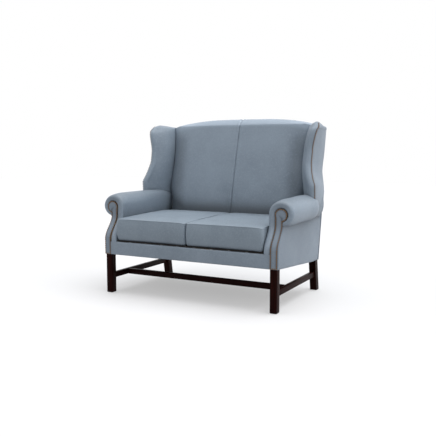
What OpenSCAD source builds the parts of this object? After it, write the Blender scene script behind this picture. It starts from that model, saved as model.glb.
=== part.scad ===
// High back settee with wings, scroll arms and two loose seat cushions.
// Millimetres. +Z is up, the front faces -Y, and the origin lies on the floor under the middle.

/* [Overall size] */
// Width over the arm rolls
width = 1316; // [1200:1:2000]
// Depth from the front nails to the back of the top
depth = 866; // [820:1:960]
// Height of the back at its middle
height = 1127; // [1060:1:1200]

/* [Legs and stretchers] */
// Side of the square front legs
leg = 42; // [38:0.5:56]
// Width of the rear legs
rear_leg_w = 44; // [40:0.5:50]
// Depth of the rear legs from front to back
rear_leg_d = 46; // [40:0.5:54]
// Rake of the rear legs, in degrees
leg_rake = 10.2; // [0:0.1:13]
// Height of the underside at the front
front_clear = 253; // [235:1:265]
// Height of the underside at the back
rear_clear = 206; // [190:1:225]
// Height of the stretchers above the floor
stretcher_z = 93; // [60:1:120]
// Height of a stretcher's section
stretcher_h = 35; // [25:0.5:45]
// Thickness of a stretcher
stretcher_t = 24; // [18:0.5:30]
// Distance of the cross stretcher behind the front of the legs
cross_set = 185; // [120:1:320]
// Bevel round the foot of each leg
foot_bevel = 3; // [1:0.5:5]
// How far the rear legs stand behind the outside back, at its bottom edge
leg_behind = 2; // [0:0.5:4]
// Radius of a foot glide
glide_r = 11; // [8:0.5:14]
// Thickness of a foot glide
glide_h = 2; // [1:0.5:4]
// Radius of a foot glide's pin
pin_r = 2.75; // [2:0.25:4]
// Length of a foot glide's pin
pin_l = 12; // [8:0.5:14]

/* [Seat frame] */
// Height of the top of the seat rails
rail_top = 335; // [315:1:345]
// Thickness of the seat rails, and width of the arm posts
rail_t = 37; // [32:0.5:38]
// Shoulder above and below each tenon
shoulder = 12; // [8:0.5:16]
// Length of the tenons
tenon_l = 16; // [12:0.5:16]
// Radius of the dowels under the arm posts
dowel_r = 6; // [4:0.5:7]
// Length of those dowels
dowel_l = 10; // [6:0.5:12]
// Clearance round a tenon or a dowel
joint_gap = 0.2; // [0.1:0.05:0.4]
// Leg of the corner blocks along each rail
block_l = 74; // [56:1:100]
// Height of the corner blocks
block_h = 40; // [30:1:46]
// Width of the brace under the middle of the seat
brace_w = 28; // [20:1:40]
// Height of the brace
brace_h = 44; // [30:1:50]
// Number of seat springs
spring_n = 8; // [6:1:12]
// Wire of the seat springs
spring_wire = 4; // [3:0.1:5]
// Width of a seat spring's bends
spring_w = 44; // [30:1:56]
// Width of a clip at a spring's end
clip_w = 14; // [10:0.5:20]
// Length of such a clip
clip_l = 4.5; // [3:0.5:6]
// Thickness of the lining over the springs
deck_t = 4; // [2:0.5:6]
// Thickness of the dust cover under the seat
dust_t = 1.5; // [1:0.5:3]
// Distance of the dust cover's edges from the outside of the rails
dust_inset = 3; // [1:0.5:6]

/* [Seat cushions] */
// Height of the front edge of the seat
seat_h = 481; // [450:1:500]
// Gap between the two cushions
cushion_gap = 1; // [0.6:0.1:8]
// Gap between a cushion and the inside arm
cushion_side_gap = 3; // [2:0.5:12]
// Rounding of the cushions' edges
cushion_edge = 16; // [8:1:22]
// Rounding of the cushions' corners in plan
cushion_corner = 14; // [10:1:40]
// How far the middle of a cushion stands above its edges
cushion_crown = 9; // [2:0.5:16]
// How much higher the back edge of the seat is than the front edge
cushion_rise = 13; // [0:1:18]
// How far the sides are drawn in between the corners
cushion_draw = 4; // [0:0.5:8]
// How far the front of a cushion swells past the seat rail
cushion_swell = 9; // [0:0.5:12]
// Thickness of the cover and wrap round a cushion's core
cover_t = 12; // [8:0.5:16]

/* [Back] */
// Rake of the back as one leans on it, in degrees
back_rake = 13.3; // [10:0.1:15]
// Rake of the outside back above the seat, in degrees
outer_rake = 11.3; // [9:0.1:13]
// Rake of the outside back below the bend, in degrees
lower_rake = 9.9; // [7:0.1:12]
// Height of the bend in the outside back
bend_z = 511; // [490:1:530]
// Thickness of the back's padding just above the seat
back_pad = 88; // [76:1:96]
// Depth of the back posts above the seat
post_d = 46; // [40:0.5:52]
// Width of the back posts above the arms
post_w = 26; // [22:0.5:30]
// Height of the posts' shoulder above the middle of the arm roll
shoulder_rise = 8; // [2:0.5:14]
// How far the back's frame stays below its top
frame_drop = 77; // [66:1:96]
// Height of the back's top rail
top_rail_h = 64; // [50:1:90]
// Height of the back's lower rail
low_rail_h = 48; // [36:1:60]
// Height of the lower rail above the seat rails
low_rail_rise = 37; // [20:1:60]
// Thickness of the lower rail and the centre stile
stile_t = 24; // [18:1:30]
// Width of the centre stile
stile_w = 40; // [30:1:60]
// Fall of the back's top from its middle to its sides
top_fall = 45; // [10:1:50]
// Distance from the middle at which the top has fallen that far
fall_half = 535; // [500:1:560]
// Depth of the rounding along the top of the back's face
top_round_front = 54; // [30:1:60]
// Height of that rounding at the middle
top_rise = 40; // [16:1:48]
// Height of that rounding at the sides
top_least = 10; // [6:1:16]
// Rounding of the top at the rear
top_round_rear = 58; // [40:1:66]
// Depth of the seam down the middle of the back
seam_depth = 5; // [1:0.5:8]
// Half width of that seam's fold
seam_fold = 14; // [8:1:24]
// How far the back swells forward at half its height
lumbar = 8; // [0:0.5:14]
// How far the back curves forward toward its sides
side_curl = 14; // [0:0.5:20]
// How far the back's edges turn back to the seams beside the wings
side_turn = 18; // [6:1:26]
// How far they turn back between the arms
side_turn_low = 60; // [10:1:70]
// Width of that turn
side_turn_w = 85; // [40:1:100]
// Width of a webbing strap
web_w = 50; // [40:1:60]
// Thickness of a webbing strap
web_t = 2; // [1:0.5:3]
// Number of straps in the back
web_n = 8; // [4:2:12]
// Number of straps in each arm
arm_web_n = 4; // [3:1:5]

/* [Arms] */
// Width of the arm roll
arm_w = 152; // [140:1:160]
// Height of the arm behind its front end
arm_top = 638; // [620:1:650]
// How much lower the front end of the arm is
arm_front_drop = 14; // [4:1:20]
// Height of the roll at its front end
roll_h_front = 134; // [126:1:140]
// Height of the roll further back
roll_h = 158; // [146:1:164]
// Distance over which the roll grows to that height
roll_grow = 103; // [60:1:160]
// How far the top of the arm's front is set back
arm_set = 73; // [40:1:90]
// Height where the arm's front starts to lean back
set_from = 350; // [340:1:380]
// Height where it stands upright again
set_to = 500; // [480:1:510]
// Overhang of the roll past the legs
roll_overhang = 68; // [60:1:74]
// Padding round the arm pole
roll_pad = 40; // [34:0.5:42]
// Radius of the arm pole
pole_r = 34; // [30:0.5:38]
// Least padding outside the pole, at its rear end
roll_skin = 6; // [4:0.5:12]
// Radius of the spigots at the pole's ends
spigot_r = 11; // [8:0.5:13]
// Rounding of the padded border at the arm's front
border_round = 22; // [12:1:28]
// Thickness of the padded panels on the outside of the arms
panel_t = 10; // [6:0.5:12]
// How far those panels' front edge is set back from the facing
panel_set = 2.5; // [1:0.5:4]
// Thickness of the arm facing, the front border and the outside back
facing_t = 8; // [5:0.5:10]
// Thickness of the arm front post
arm_post_t = 34; // [28:1:42]

/* [Wings] */
// Height of the wings below the top of the back
wing_drop = 33; // [24:1:50]
// Reach of the wings forward of the back posts, at the arms
wing_reach = 222; // [200:1:236]
// How far the wing's front edge sweeps back to its top
wing_sweep = 152; // [130:1:165]
// How far the wing's edge flares outward
wing_flare = 40; // [20:1:44]
// How far the wing's narrowest part stands outside the arm post
wing_out = 8; // [0:0.5:10]
// Height above the arm where the wing leaves it
wing_lift = 2; // [1:0.5:6]
// Radius of the wing's rolled edge
wing_round = 25; // [20:0.5:27]
// Padding between the wing board and the rolled edge
wing_edge_pad = 16; // [12:0.5:18]
// Thickness of the wing boards
board_t = 24; // [18:0.5:26]
// How far the wings stand in over the inside arms
wing_in = 9; // [4:1:20]
// How far the seam between wing and back spreads at its ends
seam_spread = 30; // [10:1:34]
// Swell of the wing's inner face
wing_swell = 15; // [0:0.5:18]
// Fall of the wing's top toward the back
wing_top_fall = 22; // [4:1:26]

/* [Nails] */
// Radius of a nail's head
nail_r = 4.8; // [4:0.1:6]
// Height of a nail's head
nail_h = 3.5; // [2:0.1:4]
// Radius of a nail's shank
shank_r = 1; // [0.6:0.1:1.4]
// Length of a nail's shank
shank_l = 14; // [10:0.5:18]
// Spacing of the nails
nail_pitch = 12; // [11:0.1:16]

/* [Hidden] */
$fn = 48;

leather = "#7c8a97";
leather_side = "#73818e";
mahogany = "#2b1712";
beech = "#c9a777";
bronze = "#6f5237";
lining = "#18191b";
steel = "#8f9499";
jute = "#a98f63";
foam = "#eee3b4";

soft_gap = 0.3;     // clearance of the loose cushions
cut = 1;            // overrun of every cut
tiny = 0.5;         // step between two rings that share most of their shape

// The front of the legs lies at y = 0 on the bench, and bench() moves the whole to the origin.
front_y = facing_t + nail_h - depth / 2;
rear_y = depth - facing_t - nail_h;
body_half = width / 2 - roll_overhang;
outer_x = body_half + panel_t;
arm_in = width / 2 - arm_w;
stem_in = body_half - rail_t;
wing_base = arm_top + wing_lift;
wing_top = height - wing_drop;
frame_top = height - frame_drop;
deck_top = rail_top + spring_wire + deck_t;
pole_x = width / 2 - roll_pad - pole_r;
pole_z = arm_top - arm_front_drop - roll_pad - pole_r;
roll_cx = width / 2 - arm_w / 2;
post_in = body_half - rear_leg_w;
post_out = post_in + post_w;
shoulder_z = pole_z + shoulder_rise;
plumb_z = frame_top + top_rail_h / 3;

module bench() translate([0, front_y, 0]) children();
module both_sides(side) mirror([side < 0 ? 1 : 0, 0, 0]) children();

function ease(u) = let (c = min(max(u, 0), 1)) (1 - cos(180 * c)) / 2;
function mix(a, b, u) = a + (b - a) * u;
function share_at(table, u, column) = lookup(u, [for (row = table) [row[0], row[column]]]);

// Outside of the back, the posts' front and the surface one leans on, by height
bend_y = rear_y - (plumb_z - bend_z) * tan(outer_rake);
function outside_y(z) = z > bend_z ? min(bend_y + (z - bend_z) * tan(outer_rake), rear_y)
                                   : bend_y - (bend_z - z) * tan(lower_rake);
function post_rear(z) = outside_y(z) - facing_t;
function post_front(z) = post_rear(z) - post_d;
function lean_y(z) = post_front(bend_z) - back_pad + (z - bend_z) * tan(back_rake);

// Front of the arm, which leans back in an S
function arm_y(z) = -facing_t + arm_set * ease((z - set_from) / (set_to - set_from));

// The arm roll's section at depth y
function roll_growth(y) = sin(90 * min(max((y - arm_y(set_to)) / roll_grow, 0), 1));
function roll_rz(y) = mix(roll_h_front, roll_h, roll_growth(y)) / 2;
function roll_top(y) = arm_top - arm_front_drop * (1 - roll_growth(y));
function roll_cz(y) = roll_top(y) - roll_rz(y);
fade_from = post_front(bend_z) - wing_reach;
fade_to = post_front(bend_z);
function roll_out(y) = let (fade = ease((y - fade_from) / (fade_to - fade_from)))
    max(mix(width / 2, outer_x, fade), pole_x + pole_r + roll_skin) - roll_cx;
// The roll's inner shoulder is round at the front and squarer toward the wing
roll_square = 1.2;
roll_edge = 0.985;
function roll_power(y) = 2 + roll_square * ease((y - fade_from / 2) / (fade_from / 2));
function roll_surface(x, y) = let (
    rx = x < roll_cx ? arm_w / 2 : roll_out(y),
    n = x < roll_cx ? roll_power(y) : 2,
    q = min(abs(x - roll_cx) / rx, roll_edge))
    roll_cz(y) + roll_rz(y) * pow(1 - pow(q, n), 1 / n);
function lip_z(y) = let (q = min((outer_x - roll_cx) / roll_out(y), 1))
    roll_cz(y) - roll_rz(y) * sqrt(1 - q * q);

// The wing's front edge, from the arm to the top: share of the height, of the flare and of the sweep
wing_edge_shares = [
    [0, 1, 0.02], [0.11, 1, 0], [0.214, 0.575, 0.08], [0.33, 0.2, 0.2], [0.443, 0, 0.316],
    [0.608, 0.025, 0.4], [0.773, 0.325, 0.42], [0.87, 0.575, 0.48], [0.925, 0.675, 0.63],
    [0.969, 0.575, 0.77], [1, 0.4, 1]
];
function wing_u(z) = (z - wing_base) / (wing_top - wing_base);
function edge_x(z) = body_half + wing_out + wing_flare * share_at(wing_edge_shares, wing_u(z), 1);
function edge_y(z) = fade_from + wing_sweep * share_at(wing_edge_shares, wing_u(z), 2);

// The outside rear corner by height: share of the height, and of the panel's thickness
rear_corner_shares = [
    [0.453, 0.6], [0.486, 0.9], [0.561, 1.4], [0.611, 0.7], [0.703, -1], [0.802, -0.6], [0.942, -0.5]
];
function rear_corner(z) = body_half + panel_t * share_at(rear_corner_shares, z / height, 1);

// The seam between the back and the wing, closest to the middle at the waist
seam_waist = 0.42;
seam_reach = 0.59;
function seam_x(z) = let (away = (max(wing_u(z), 0) - seam_waist) / seam_reach)
    arm_in - wing_in + seam_spread * away * away;
seam_mid = seam_x(wing_base + roll_h);

// Height of the back's top along its width, and its front surface at side share s
fall_power = 3.5;
curl_power = 3;
curl_edge = 0.9;
curl_back = 0.4;
turn_power = 2.5;
function back_top(x) = height - top_fall * pow(abs(x) / fall_half, fall_power);
function back_face(s, z) = let (
    rise = ease((z - seat_h) / (wing_base + roll_h - seat_h)),
    a = abs(s),
    curl = pow(a, curl_power) - curl_back * pow(max(a - curl_edge, 0) / (1 - curl_edge), 2),
    turned = max(a - 1 + side_turn_w / seam_mid, 0) / (side_turn_w / seam_mid),
    turn = mix(side_turn_low, side_turn, ease((z - pole_z) / roll_h)))
    lean_y(z) - lumbar * sin(180 * min((z - deck_top) / (height - deck_top), 1)) - rise * side_curl * curl
    + turn * pow(turned, turn_power);

// Triangles of a closed skin over m rings of n points, with the end caps between the two contours
function wall_faces(n, m) = [
    for (r = [0 : m - 2], i = [0 : n - 1], h = [0, 1])
        let (a = r * n + i, b = r * n + (i + 1) % n, c = a + n, d = b + n)
            h == 0 ? [a, c, b] : [b, c, d]
];
function band_cap(n, first, last) = [
    for (i = [0 : n / 2 - 2], h = [0, 1])
        let (a = first + i, b = a + 1, c = first + n - 1 - i, d = c - 1,
             t = h == 0 ? [a, b, c] : [b, d, c])
            last ? [t[2], t[1], t[0]] : t
];
function band(outer, inner) = concat(outer, [for (i = [len(inner) - 1 : -1 : 0]) inner[i]]);

module band_skin(rings) {
    n = len(rings[0]);
    m = len(rings);
    faces = concat(wall_faces(n, m), band_cap(n, 0, false), band_cap(n, (m - 1) * n, true));
    polyhedron(points = [for (r = rings) each r], faces = faces, convexity = 6);
}

// Triangles of a closed skin over rings that end in a middle point at each end
module puffed_skin(rings, first_middle, last_middle) {
    n = len(rings[0]);
    m = len(rings);
    points = concat([for (r = rings) each r], [first_middle, last_middle]);
    caps = [for (i = [0 : n - 1]) let (j = (i + 1) % n) each [
        [i, j, n * m], [(m - 1) * n + j, (m - 1) * n + i, n * m + 1]
    ]];
    polyhedron(points = points, faces = concat(wall_faces(n, m), caps), convexity = 4);
}

// A prism drawn in the side view (y, z)
module side_prism(x0, x1, outline)
    translate([x0, 0, 0]) rotate([90, 0, 90]) linear_extrude(x1 - x0) polygon(outline);
module block(from, to) translate(from) cube(to - from);

// A raked board between two heights, in the side view
function raked(z0, z1, front_set, back_set) = concat(
    [for (z = z0 < bend_z && z1 > bend_z ? [z0, bend_z, z1] : [z0, z1]) [post_front(z) + front_set, z]],
    [for (z = z0 < bend_z && z1 > bend_z ? [z1, bend_z, z0] : [z1, z0]) [post_front(z) + back_set, z]]);

// Legs and posts
side_rail_mid = (stem_in + body_half) / 2;
tenon_t = rail_t / 3;
stretcher_mid = body_half - leg / 2;
function rear_leg_back(z) = outside_y(rear_clear) + leg_behind + (rear_clear - z) * tan(leg_rake);
function rear_leg_front(z) = rear_leg_back(z) - rear_leg_d;
function underside(y) = mix(front_clear, rear_clear, y / rear_leg_front(rear_clear));

module front_rail_tenon(gap)
    block([body_half - leg - cut, tenon_t - gap, front_clear + shoulder - gap],
          [body_half - leg + tenon_l + gap, 2 * tenon_t + gap, rail_top - shoulder + gap]);
module side_rail_front_tenon(gap)
    block([side_rail_mid - tenon_t / 2 - gap, leg - tenon_l - gap, front_clear + shoulder - gap],
          [side_rail_mid + tenon_t / 2 + gap, leg + cut, rail_top - shoulder + gap]);
peg_z0 = stretcher_z + shoulder / 2;
peg_z1 = stretcher_z + stretcher_h - shoulder / 2;
module stretcher_front_tenon(gap)
    block([stretcher_mid - stretcher_t / 4 - gap, leg - tenon_l - gap, peg_z0 - gap],
          [stretcher_mid + stretcher_t / 4 + gap, leg + cut, peg_z1 + gap]);
module post_dowel(gap)
    translate([side_rail_mid, leg / 2, rail_top - dowel_l - gap])
        cylinder(r = dowel_r + gap, h = dowel_l + cut + gap);
module glide_pin(gap, y)
    translate([stretcher_mid, y, -cut]) cylinder(r = pin_r + gap, h = pin_l + cut + gap);

module front_leg(side) color(mahogany) bench() both_sides(side) difference() {
    hull() {
        block([body_half - leg, 0, glide_h + foot_bevel], [body_half, leg, rail_top]);
        block([body_half - leg + foot_bevel, foot_bevel, glide_h],
              [body_half - foot_bevel, leg - foot_bevel, glide_h + foot_bevel]);
    }
    front_rail_tenon(joint_gap);
    side_rail_front_tenon(joint_gap);
    stretcher_front_tenon(joint_gap);
    post_dowel(joint_gap);
    glide_pin(joint_gap, leg / 2);
}

rear_foot_y = rear_leg_front(0) + rear_leg_d / 2;
module rear_tenon(mid, thick, z0, z1, gap)
    side_prism(mid - thick / 2 - gap, mid + thick / 2 + gap, [
        [post_front(z0) - cut, z0 - gap], [post_front(z1) - cut, z1 + gap],
        [post_front(z1) + tenon_l + gap, z1 + gap], [post_front(z0) + tenon_l + gap, z0 - gap]
    ]);
module side_rail_rear_tenon(gap)
    rear_tenon(side_rail_mid, tenon_t, rear_clear + 2 * shoulder, rail_top - shoulder, gap);
module stretcher_rear_tenon(gap)
    side_prism(stretcher_mid - stretcher_t / 4 - gap, stretcher_mid + stretcher_t / 4 + gap, [
        [rear_leg_front(peg_z0) - cut, peg_z0 - gap], [rear_leg_front(peg_z1) - cut, peg_z1 + gap],
        [rear_leg_front(peg_z1) + tenon_l + gap, peg_z1 + gap],
        [rear_leg_front(peg_z0) + tenon_l + gap, peg_z0 - gap]
    ]);
module cross_rail_tenon(z0, z1, front_set, back_set, gap) {
    inset = (back_set - front_set) / 3;
    side_prism(post_in - cut, post_in + tenon_l + gap, [
        [post_front(z0) + front_set + inset - gap, z0 - gap],
        [post_front(z1) + front_set + inset - gap, z1 + gap],
        [post_front(z1) + back_set - inset + gap, z1 + gap],
        [post_front(z0) + back_set - inset + gap, z0 - gap]
    ]);
}
rear_rail_set = post_d - rail_t;
low_rail_z = rail_top + low_rail_rise;
top_rail_z = frame_top - top_rail_h;
module seat_rail_tenon(gap)
    cross_rail_tenon(rear_clear + 2 * shoulder, rail_top - shoulder, rear_rail_set, post_d, gap);
module low_rail_tenon(gap)
    cross_rail_tenon(low_rail_z + shoulder, low_rail_z + low_rail_h - shoulder, 0, stile_t, gap);
module top_rail_tenon(gap) cross_rail_tenon(top_rail_z + shoulder, frame_top - shoulder, 0, post_d, gap);
module pole_spigot(gap)
    translate([pole_x - pole_r / 2, post_front(pole_z) - tenon_l, pole_z - shoulder])
        rotate([-90, 0, 0]) cylinder(r = spigot_r + gap, h = 2 * tenon_l + gap);

module back_post(side) color(mahogany) bench() both_sides(side) difference() {
    side_prism(post_in, body_half, [
        [rear_leg_front(glide_h), glide_h], [rear_leg_back(glide_h), glide_h],
        [rear_leg_back(rear_clear), rear_clear], [post_rear(rear_clear), rear_clear],
        [post_rear(bend_z), bend_z], [post_rear(frame_top), frame_top],
        [post_front(frame_top), frame_top], [post_front(bend_z), bend_z],
        [post_front(rear_clear), rear_clear], [rear_leg_front(rear_clear), rear_clear]
    ]);
    block([post_out, 0, shoulder_z], [body_half + cut, depth, height]);
    side_rail_rear_tenon(joint_gap);
    stretcher_rear_tenon(joint_gap);
    pole_spigot(joint_gap);
    seat_rail_tenon(joint_gap);
    low_rail_tenon(joint_gap);
    top_rail_tenon(joint_gap);
    translate([0, rear_foot_y - leg / 2, 0]) glide_pin(joint_gap, leg / 2);
}

module side_stretcher(side) color(mahogany) bench() both_sides(side) difference() {
    union() {
        side_prism(stretcher_mid - stretcher_t / 2, stretcher_mid + stretcher_t / 2, [
            [leg, stretcher_z], [rear_leg_front(stretcher_z), stretcher_z],
            [rear_leg_front(stretcher_z + stretcher_h), stretcher_z + stretcher_h],
            [leg, stretcher_z + stretcher_h]
        ]);
        stretcher_front_tenon(0);
        stretcher_rear_tenon(0);
    }
    cross_tenon(joint_gap);
}
module cross_tenon(gap)
    block([stretcher_mid - stretcher_t / 2 - cut, cross_set + stretcher_t / 4 - gap, peg_z0 - gap],
          [stretcher_mid + gap, cross_set + stretcher_t * 3 / 4 + gap, peg_z1 + gap]);
module cross_stretcher() color(mahogany) bench() {
    half = stretcher_mid - stretcher_t / 2;
    block([-half, cross_set, stretcher_z], [half, cross_set + stretcher_t, stretcher_z + stretcher_h]);
    for (side = [-1, 1]) both_sides(side) cross_tenon(0);
}

module foot_glides() color(steel) bench()
    for (side = [-1, 1], y = [leg / 2, rear_foot_y])
        both_sides(side) translate([stretcher_mid, y, 0]) {
            cylinder(r = glide_r, h = glide_h);
            cylinder(r = pin_r, h = pin_l);
        }

// Seat frame
module front_seat_rail() color(beech) bench() difference() {
    union() {
        half = body_half - leg;
        block([-half, 0, front_clear], [half, rail_t, rail_top]);
        for (side = [-1, 1]) both_sides(side) front_rail_tenon(0);
    }
    brace_tenon(rail_t - tenon_l, rail_t + cut, joint_gap);
}
module side_seat_rail(side) color(beech) bench() both_sides(side) {
    side_prism(stem_in, body_half, [
        [leg, underside(leg)], [post_front(rear_clear), rear_clear],
        [post_front(rail_top), rail_top], [leg, rail_top]
    ]);
    side_rail_front_tenon(0);
    side_rail_rear_tenon(0);
}
brace_z = front_clear + shoulder;
brace_end = post_front(brace_z) + rear_rail_set;
module brace_tenon(y0, y1, gap)
    block([-brace_w / 4 - gap, y0 - gap, brace_z + shoulder - gap],
          [brace_w / 4 + gap, y1 + gap, brace_z + brace_h - shoulder + gap]);
module rear_seat_rail() color(beech) bench() difference() {
    union() {
        side_prism(-post_in, post_in, raked(rear_clear, rail_top, rear_rail_set, post_d));
        for (side = [-1, 1]) both_sides(side) seat_rail_tenon(0);
    }
    brace_tenon(brace_end - cut, brace_end + tenon_l, joint_gap);
}
module seat_brace() color(beech) bench() {
    side_prism(-brace_w / 2, brace_w / 2, [
        [rail_t, brace_z], [brace_end, brace_z],
        [post_front(brace_z + brace_h) + rear_rail_set, brace_z + brace_h], [rail_t, brace_z + brace_h]
    ]);
    brace_tenon(rail_t - tenon_l, rail_t + cut, 0);
    brace_tenon(brace_end - cut, brace_end + tenon_l, 0);
}
module corner_blocks() color(beech) bench() for (side = [-1, 1]) both_sides(side) {
    z = rail_top - shoulder - block_h;
    in = body_half - leg;
    translate([0, 0, z]) linear_extrude(block_h) polygon([
        [stem_in, leg], [stem_in, leg + block_l], [in - block_l, rail_t], [in, rail_t], [in, leg]
    ]);
    rear = post_front(z) + rear_rail_set;
    translate([0, 0, z]) linear_extrude(block_h) polygon([
        [stem_in, post_front(z)], [stem_in, post_front(z) - block_l], [post_in - block_l, rear],
        [post_in, rear], [post_in, post_front(z)]
    ]);
}

// Springs, clips, deck and dust cover
spring_y0 = rail_t / 4;
spring_y1 = post_rear(rail_top) - rail_t / 2;
spring_step = 2 * (arm_in - spring_w) / spring_n;
spring_bends = 10;
function spring_x(k) = -arm_in + spring_w + spring_step * (k + 0.5);
function spring_path(u) = let (held = ease(u * spring_bends / 2) * ease((1 - u) * spring_bends / 2))
    [sin(180 * spring_bends * u) * spring_w / 2 * held, mix(spring_y0, spring_y1, u)];
function spring_side(u, s) = let (d = 1 / spring_bends / 16,
    t = spring_path(min(u + d, 1)) - spring_path(max(u - d, 0)))
    spring_path(u) + s * spring_wire / 2 * [-t[1], t[0]] / norm(t);
module seat_springs() color(steel) bench() {
    steps = spring_bends * 6;
    outline = concat([for (i = [0 : steps]) spring_side(i / steps, 1)],
                     [for (i = [steps : -1 : 0]) spring_side(i / steps, -1)]);
    for (k = [0 : spring_n - 1]) translate([spring_x(k), 0, rail_top])
        linear_extrude(spring_wire) polygon(outline);
}
module clip_row(y)
    for (k = [0 : spring_n - 1]) translate([spring_x(k), y, rail_top])
        block([-clip_w / 2, 0, 0], [clip_w / 2, clip_l, spring_wire]);
module spring_clips() color(steel) bench() {
    clip_row(spring_y0 - joint_gap - clip_l);
    clip_row(spring_y1 + joint_gap);
}
module seat_deck() color(lining) bench()
    block([-arm_in + soft_gap, 0, rail_top + spring_wire],
          [arm_in - soft_gap, post_front(rail_top), deck_top]);
module dust_cover() color(lining) bench() {
    rear_rail_y = post_front(rear_clear) + rear_rail_set;
    edge = [[dust_inset, underside(dust_inset)],
            [min(rear_leg_front(rear_clear), rear_rail_y), rear_clear],
            [post_rear(rear_clear) - dust_inset, rear_clear]];
    side_prism(-post_in + joint_gap, post_in - joint_gap,
        concat(edge, [for (p = reversed(edge)) p - [0, dust_t]]));
}

// Frame of the back, arms and wings
module back_top_rail() color(beech) bench() {
    side_prism(-post_in, post_in, raked(top_rail_z, frame_top, 0, post_d));
    for (side = [-1, 1]) both_sides(side) top_rail_tenon(0);
}
module back_lower_rail() color(beech) bench() {
    side_prism(-post_in, post_in, raked(low_rail_z, low_rail_z + low_rail_h, 0, stile_t));
    for (side = [-1, 1]) both_sides(side) low_rail_tenon(0);
}
module back_stile() color(beech) bench()
    side_prism(-stile_w / 2, stile_w / 2, raked(low_rail_z + low_rail_h, top_rail_z, 0, stile_t));

s_steps = 10;
function s_line(set, z0, z1) = concat([[arm_y(z0) + set, z0]],
    [for (i = [0 : s_steps]) let (z = mix(set_from, min(set_to, z1), i / s_steps))
        [arm_y(z) + set, z]],
    z1 > set_to ? [[arm_y(z1) + set, z1]] : []);
function reversed(list) = [for (i = [len(list) - 1 : -1 : 0]) list[i]];
module s_board(x0, x1, z0, z1, set0, set1)
    side_prism(x0, x1, concat(s_line(set0, z0, z1), reversed(s_line(set1, z0, z1))));
module head(r, set0, set1)
    translate([pole_x, arm_y(set_to) + set0, pole_z]) rotate([-90, 0, 0]) cylinder(r = r, h = set1 - set0);

module arm_front_post(side) color(beech) bench() both_sides(side) difference() {
    union() {
        s_board(stem_in, body_half, rail_top, pole_z, facing_t, facing_t + arm_post_t);
        head(pole_r, facing_t, facing_t + arm_post_t);
        intersection() {
            post_dowel(0);
            block([0, 0, 0], [width, depth, rail_top]);
        }
    }
    front_spigot(joint_gap);
}
module front_spigot(gap)
    translate([pole_x, arm_y(set_to) + facing_t + arm_post_t - tenon_l - gap, pole_z])
        rotate([-90, 0, 0]) cylinder(r = spigot_r + gap, h = 2 * tenon_l + gap);
module arm_pole(side) color(beech) bench() both_sides(side) {
    y0 = arm_y(set_to) + facing_t + arm_post_t;
    translate([pole_x, y0, pole_z]) rotate([-90, 0, 0])
        cylinder(r = pole_r, h = post_front(pole_z - pole_r) - y0);
    front_spigot(0);
    intersection() {
        pole_spigot(0);
        block([0, y0, 0], [width, post_front(pole_z - shoulder) + tenon_l, height]);
    }
}

// The wing board leans outward toward its front edge
function board_y(z) = edge_y(z) + wing_edge_pad;
function board_front_out(z) = edge_x(z) - wing_round / 2;
function board_out(z, y) =
    mix(board_front_out(z), post_out, (y - board_y(z)) / (post_front(z) - board_y(z)));
function board_ring(z, grow) = let (
    out = board_front_out(z) + grow,
    in = board_front_out(z) - board_t - grow,
    front = board_y(z) - grow,
    rear = post_front(z) + (grow > 0 ? cut : 0))
    [[in, front, z], [out, front, z], [post_out + grow, rear, z], [post_out - board_t - grow, rear, z]];
wing_levels = 9;
board_z0 = pole_z + pole_r / 2;
function wing_z(k) = mix(wing_base, frame_top, k / wing_levels);
module board_body(grow) {
    foot = board_ring(board_z0, grow);
    band_skin(concat(grow > 0 ? [lifted(foot, board_z0 - grow, 0)] : [], [foot],
        [for (k = [0 : wing_levels]) board_ring(wing_z(k), grow)]));
}
module wing_board(side) color(beech) bench() both_sides(side) difference() {
    board_body(0);
    translate([pole_x, 0, pole_z]) rotate([-90, 0, 0]) cylinder(r = pole_r, h = depth);
}

// Webbing
module back_webbing() color(jute) bench() {
    step = 2 * (arm_in - web_w) / web_n;
    for (k = [0 : web_n - 1]) translate([-arm_in + web_w + step * (k + 0.5), 0, 0])
        side_prism(-web_w / 2, web_w / 2, raked(low_rail_z + shoulder, frame_top - shoulder, -web_t, 0));
}
module arm_webbing() color(jute) bench() {
    y0 = arm_y(set_to) + facing_t + arm_post_t + web_w / 2;
    step = (post_front(rail_top) - web_w * 3 / 2 - y0) / (arm_web_n - 1);
    top = pole_z - sqrt(pow(pole_r, 2) - pow(pole_x - stem_in - web_t, 2));
    for (side = [-1, 1], k = [0 : arm_web_n - 1]) both_sides(side)
        block([stem_in, y0 + step * k, rail_top], [stem_in + web_t, y0 + step * k + web_w, top]);
}

// Front border, with its top and bottom edges rounded
border_steps = 4;
border_r = facing_t * 3 / 4;
function border_corner(cz, a0) = [for (i = [0 : border_steps]) let (a = a0 + 90 * i / border_steps)
    [border_r - facing_t - border_r * sin(a), cz + border_r * cos(a)]];
module front_border() color(leather) bench() side_prism(-stem_in, stem_in, concat(
    [[0, front_clear], [0, rail_top]],
    border_corner(rail_top - border_r, 0), border_corner(front_clear + border_r, 90)));

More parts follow.
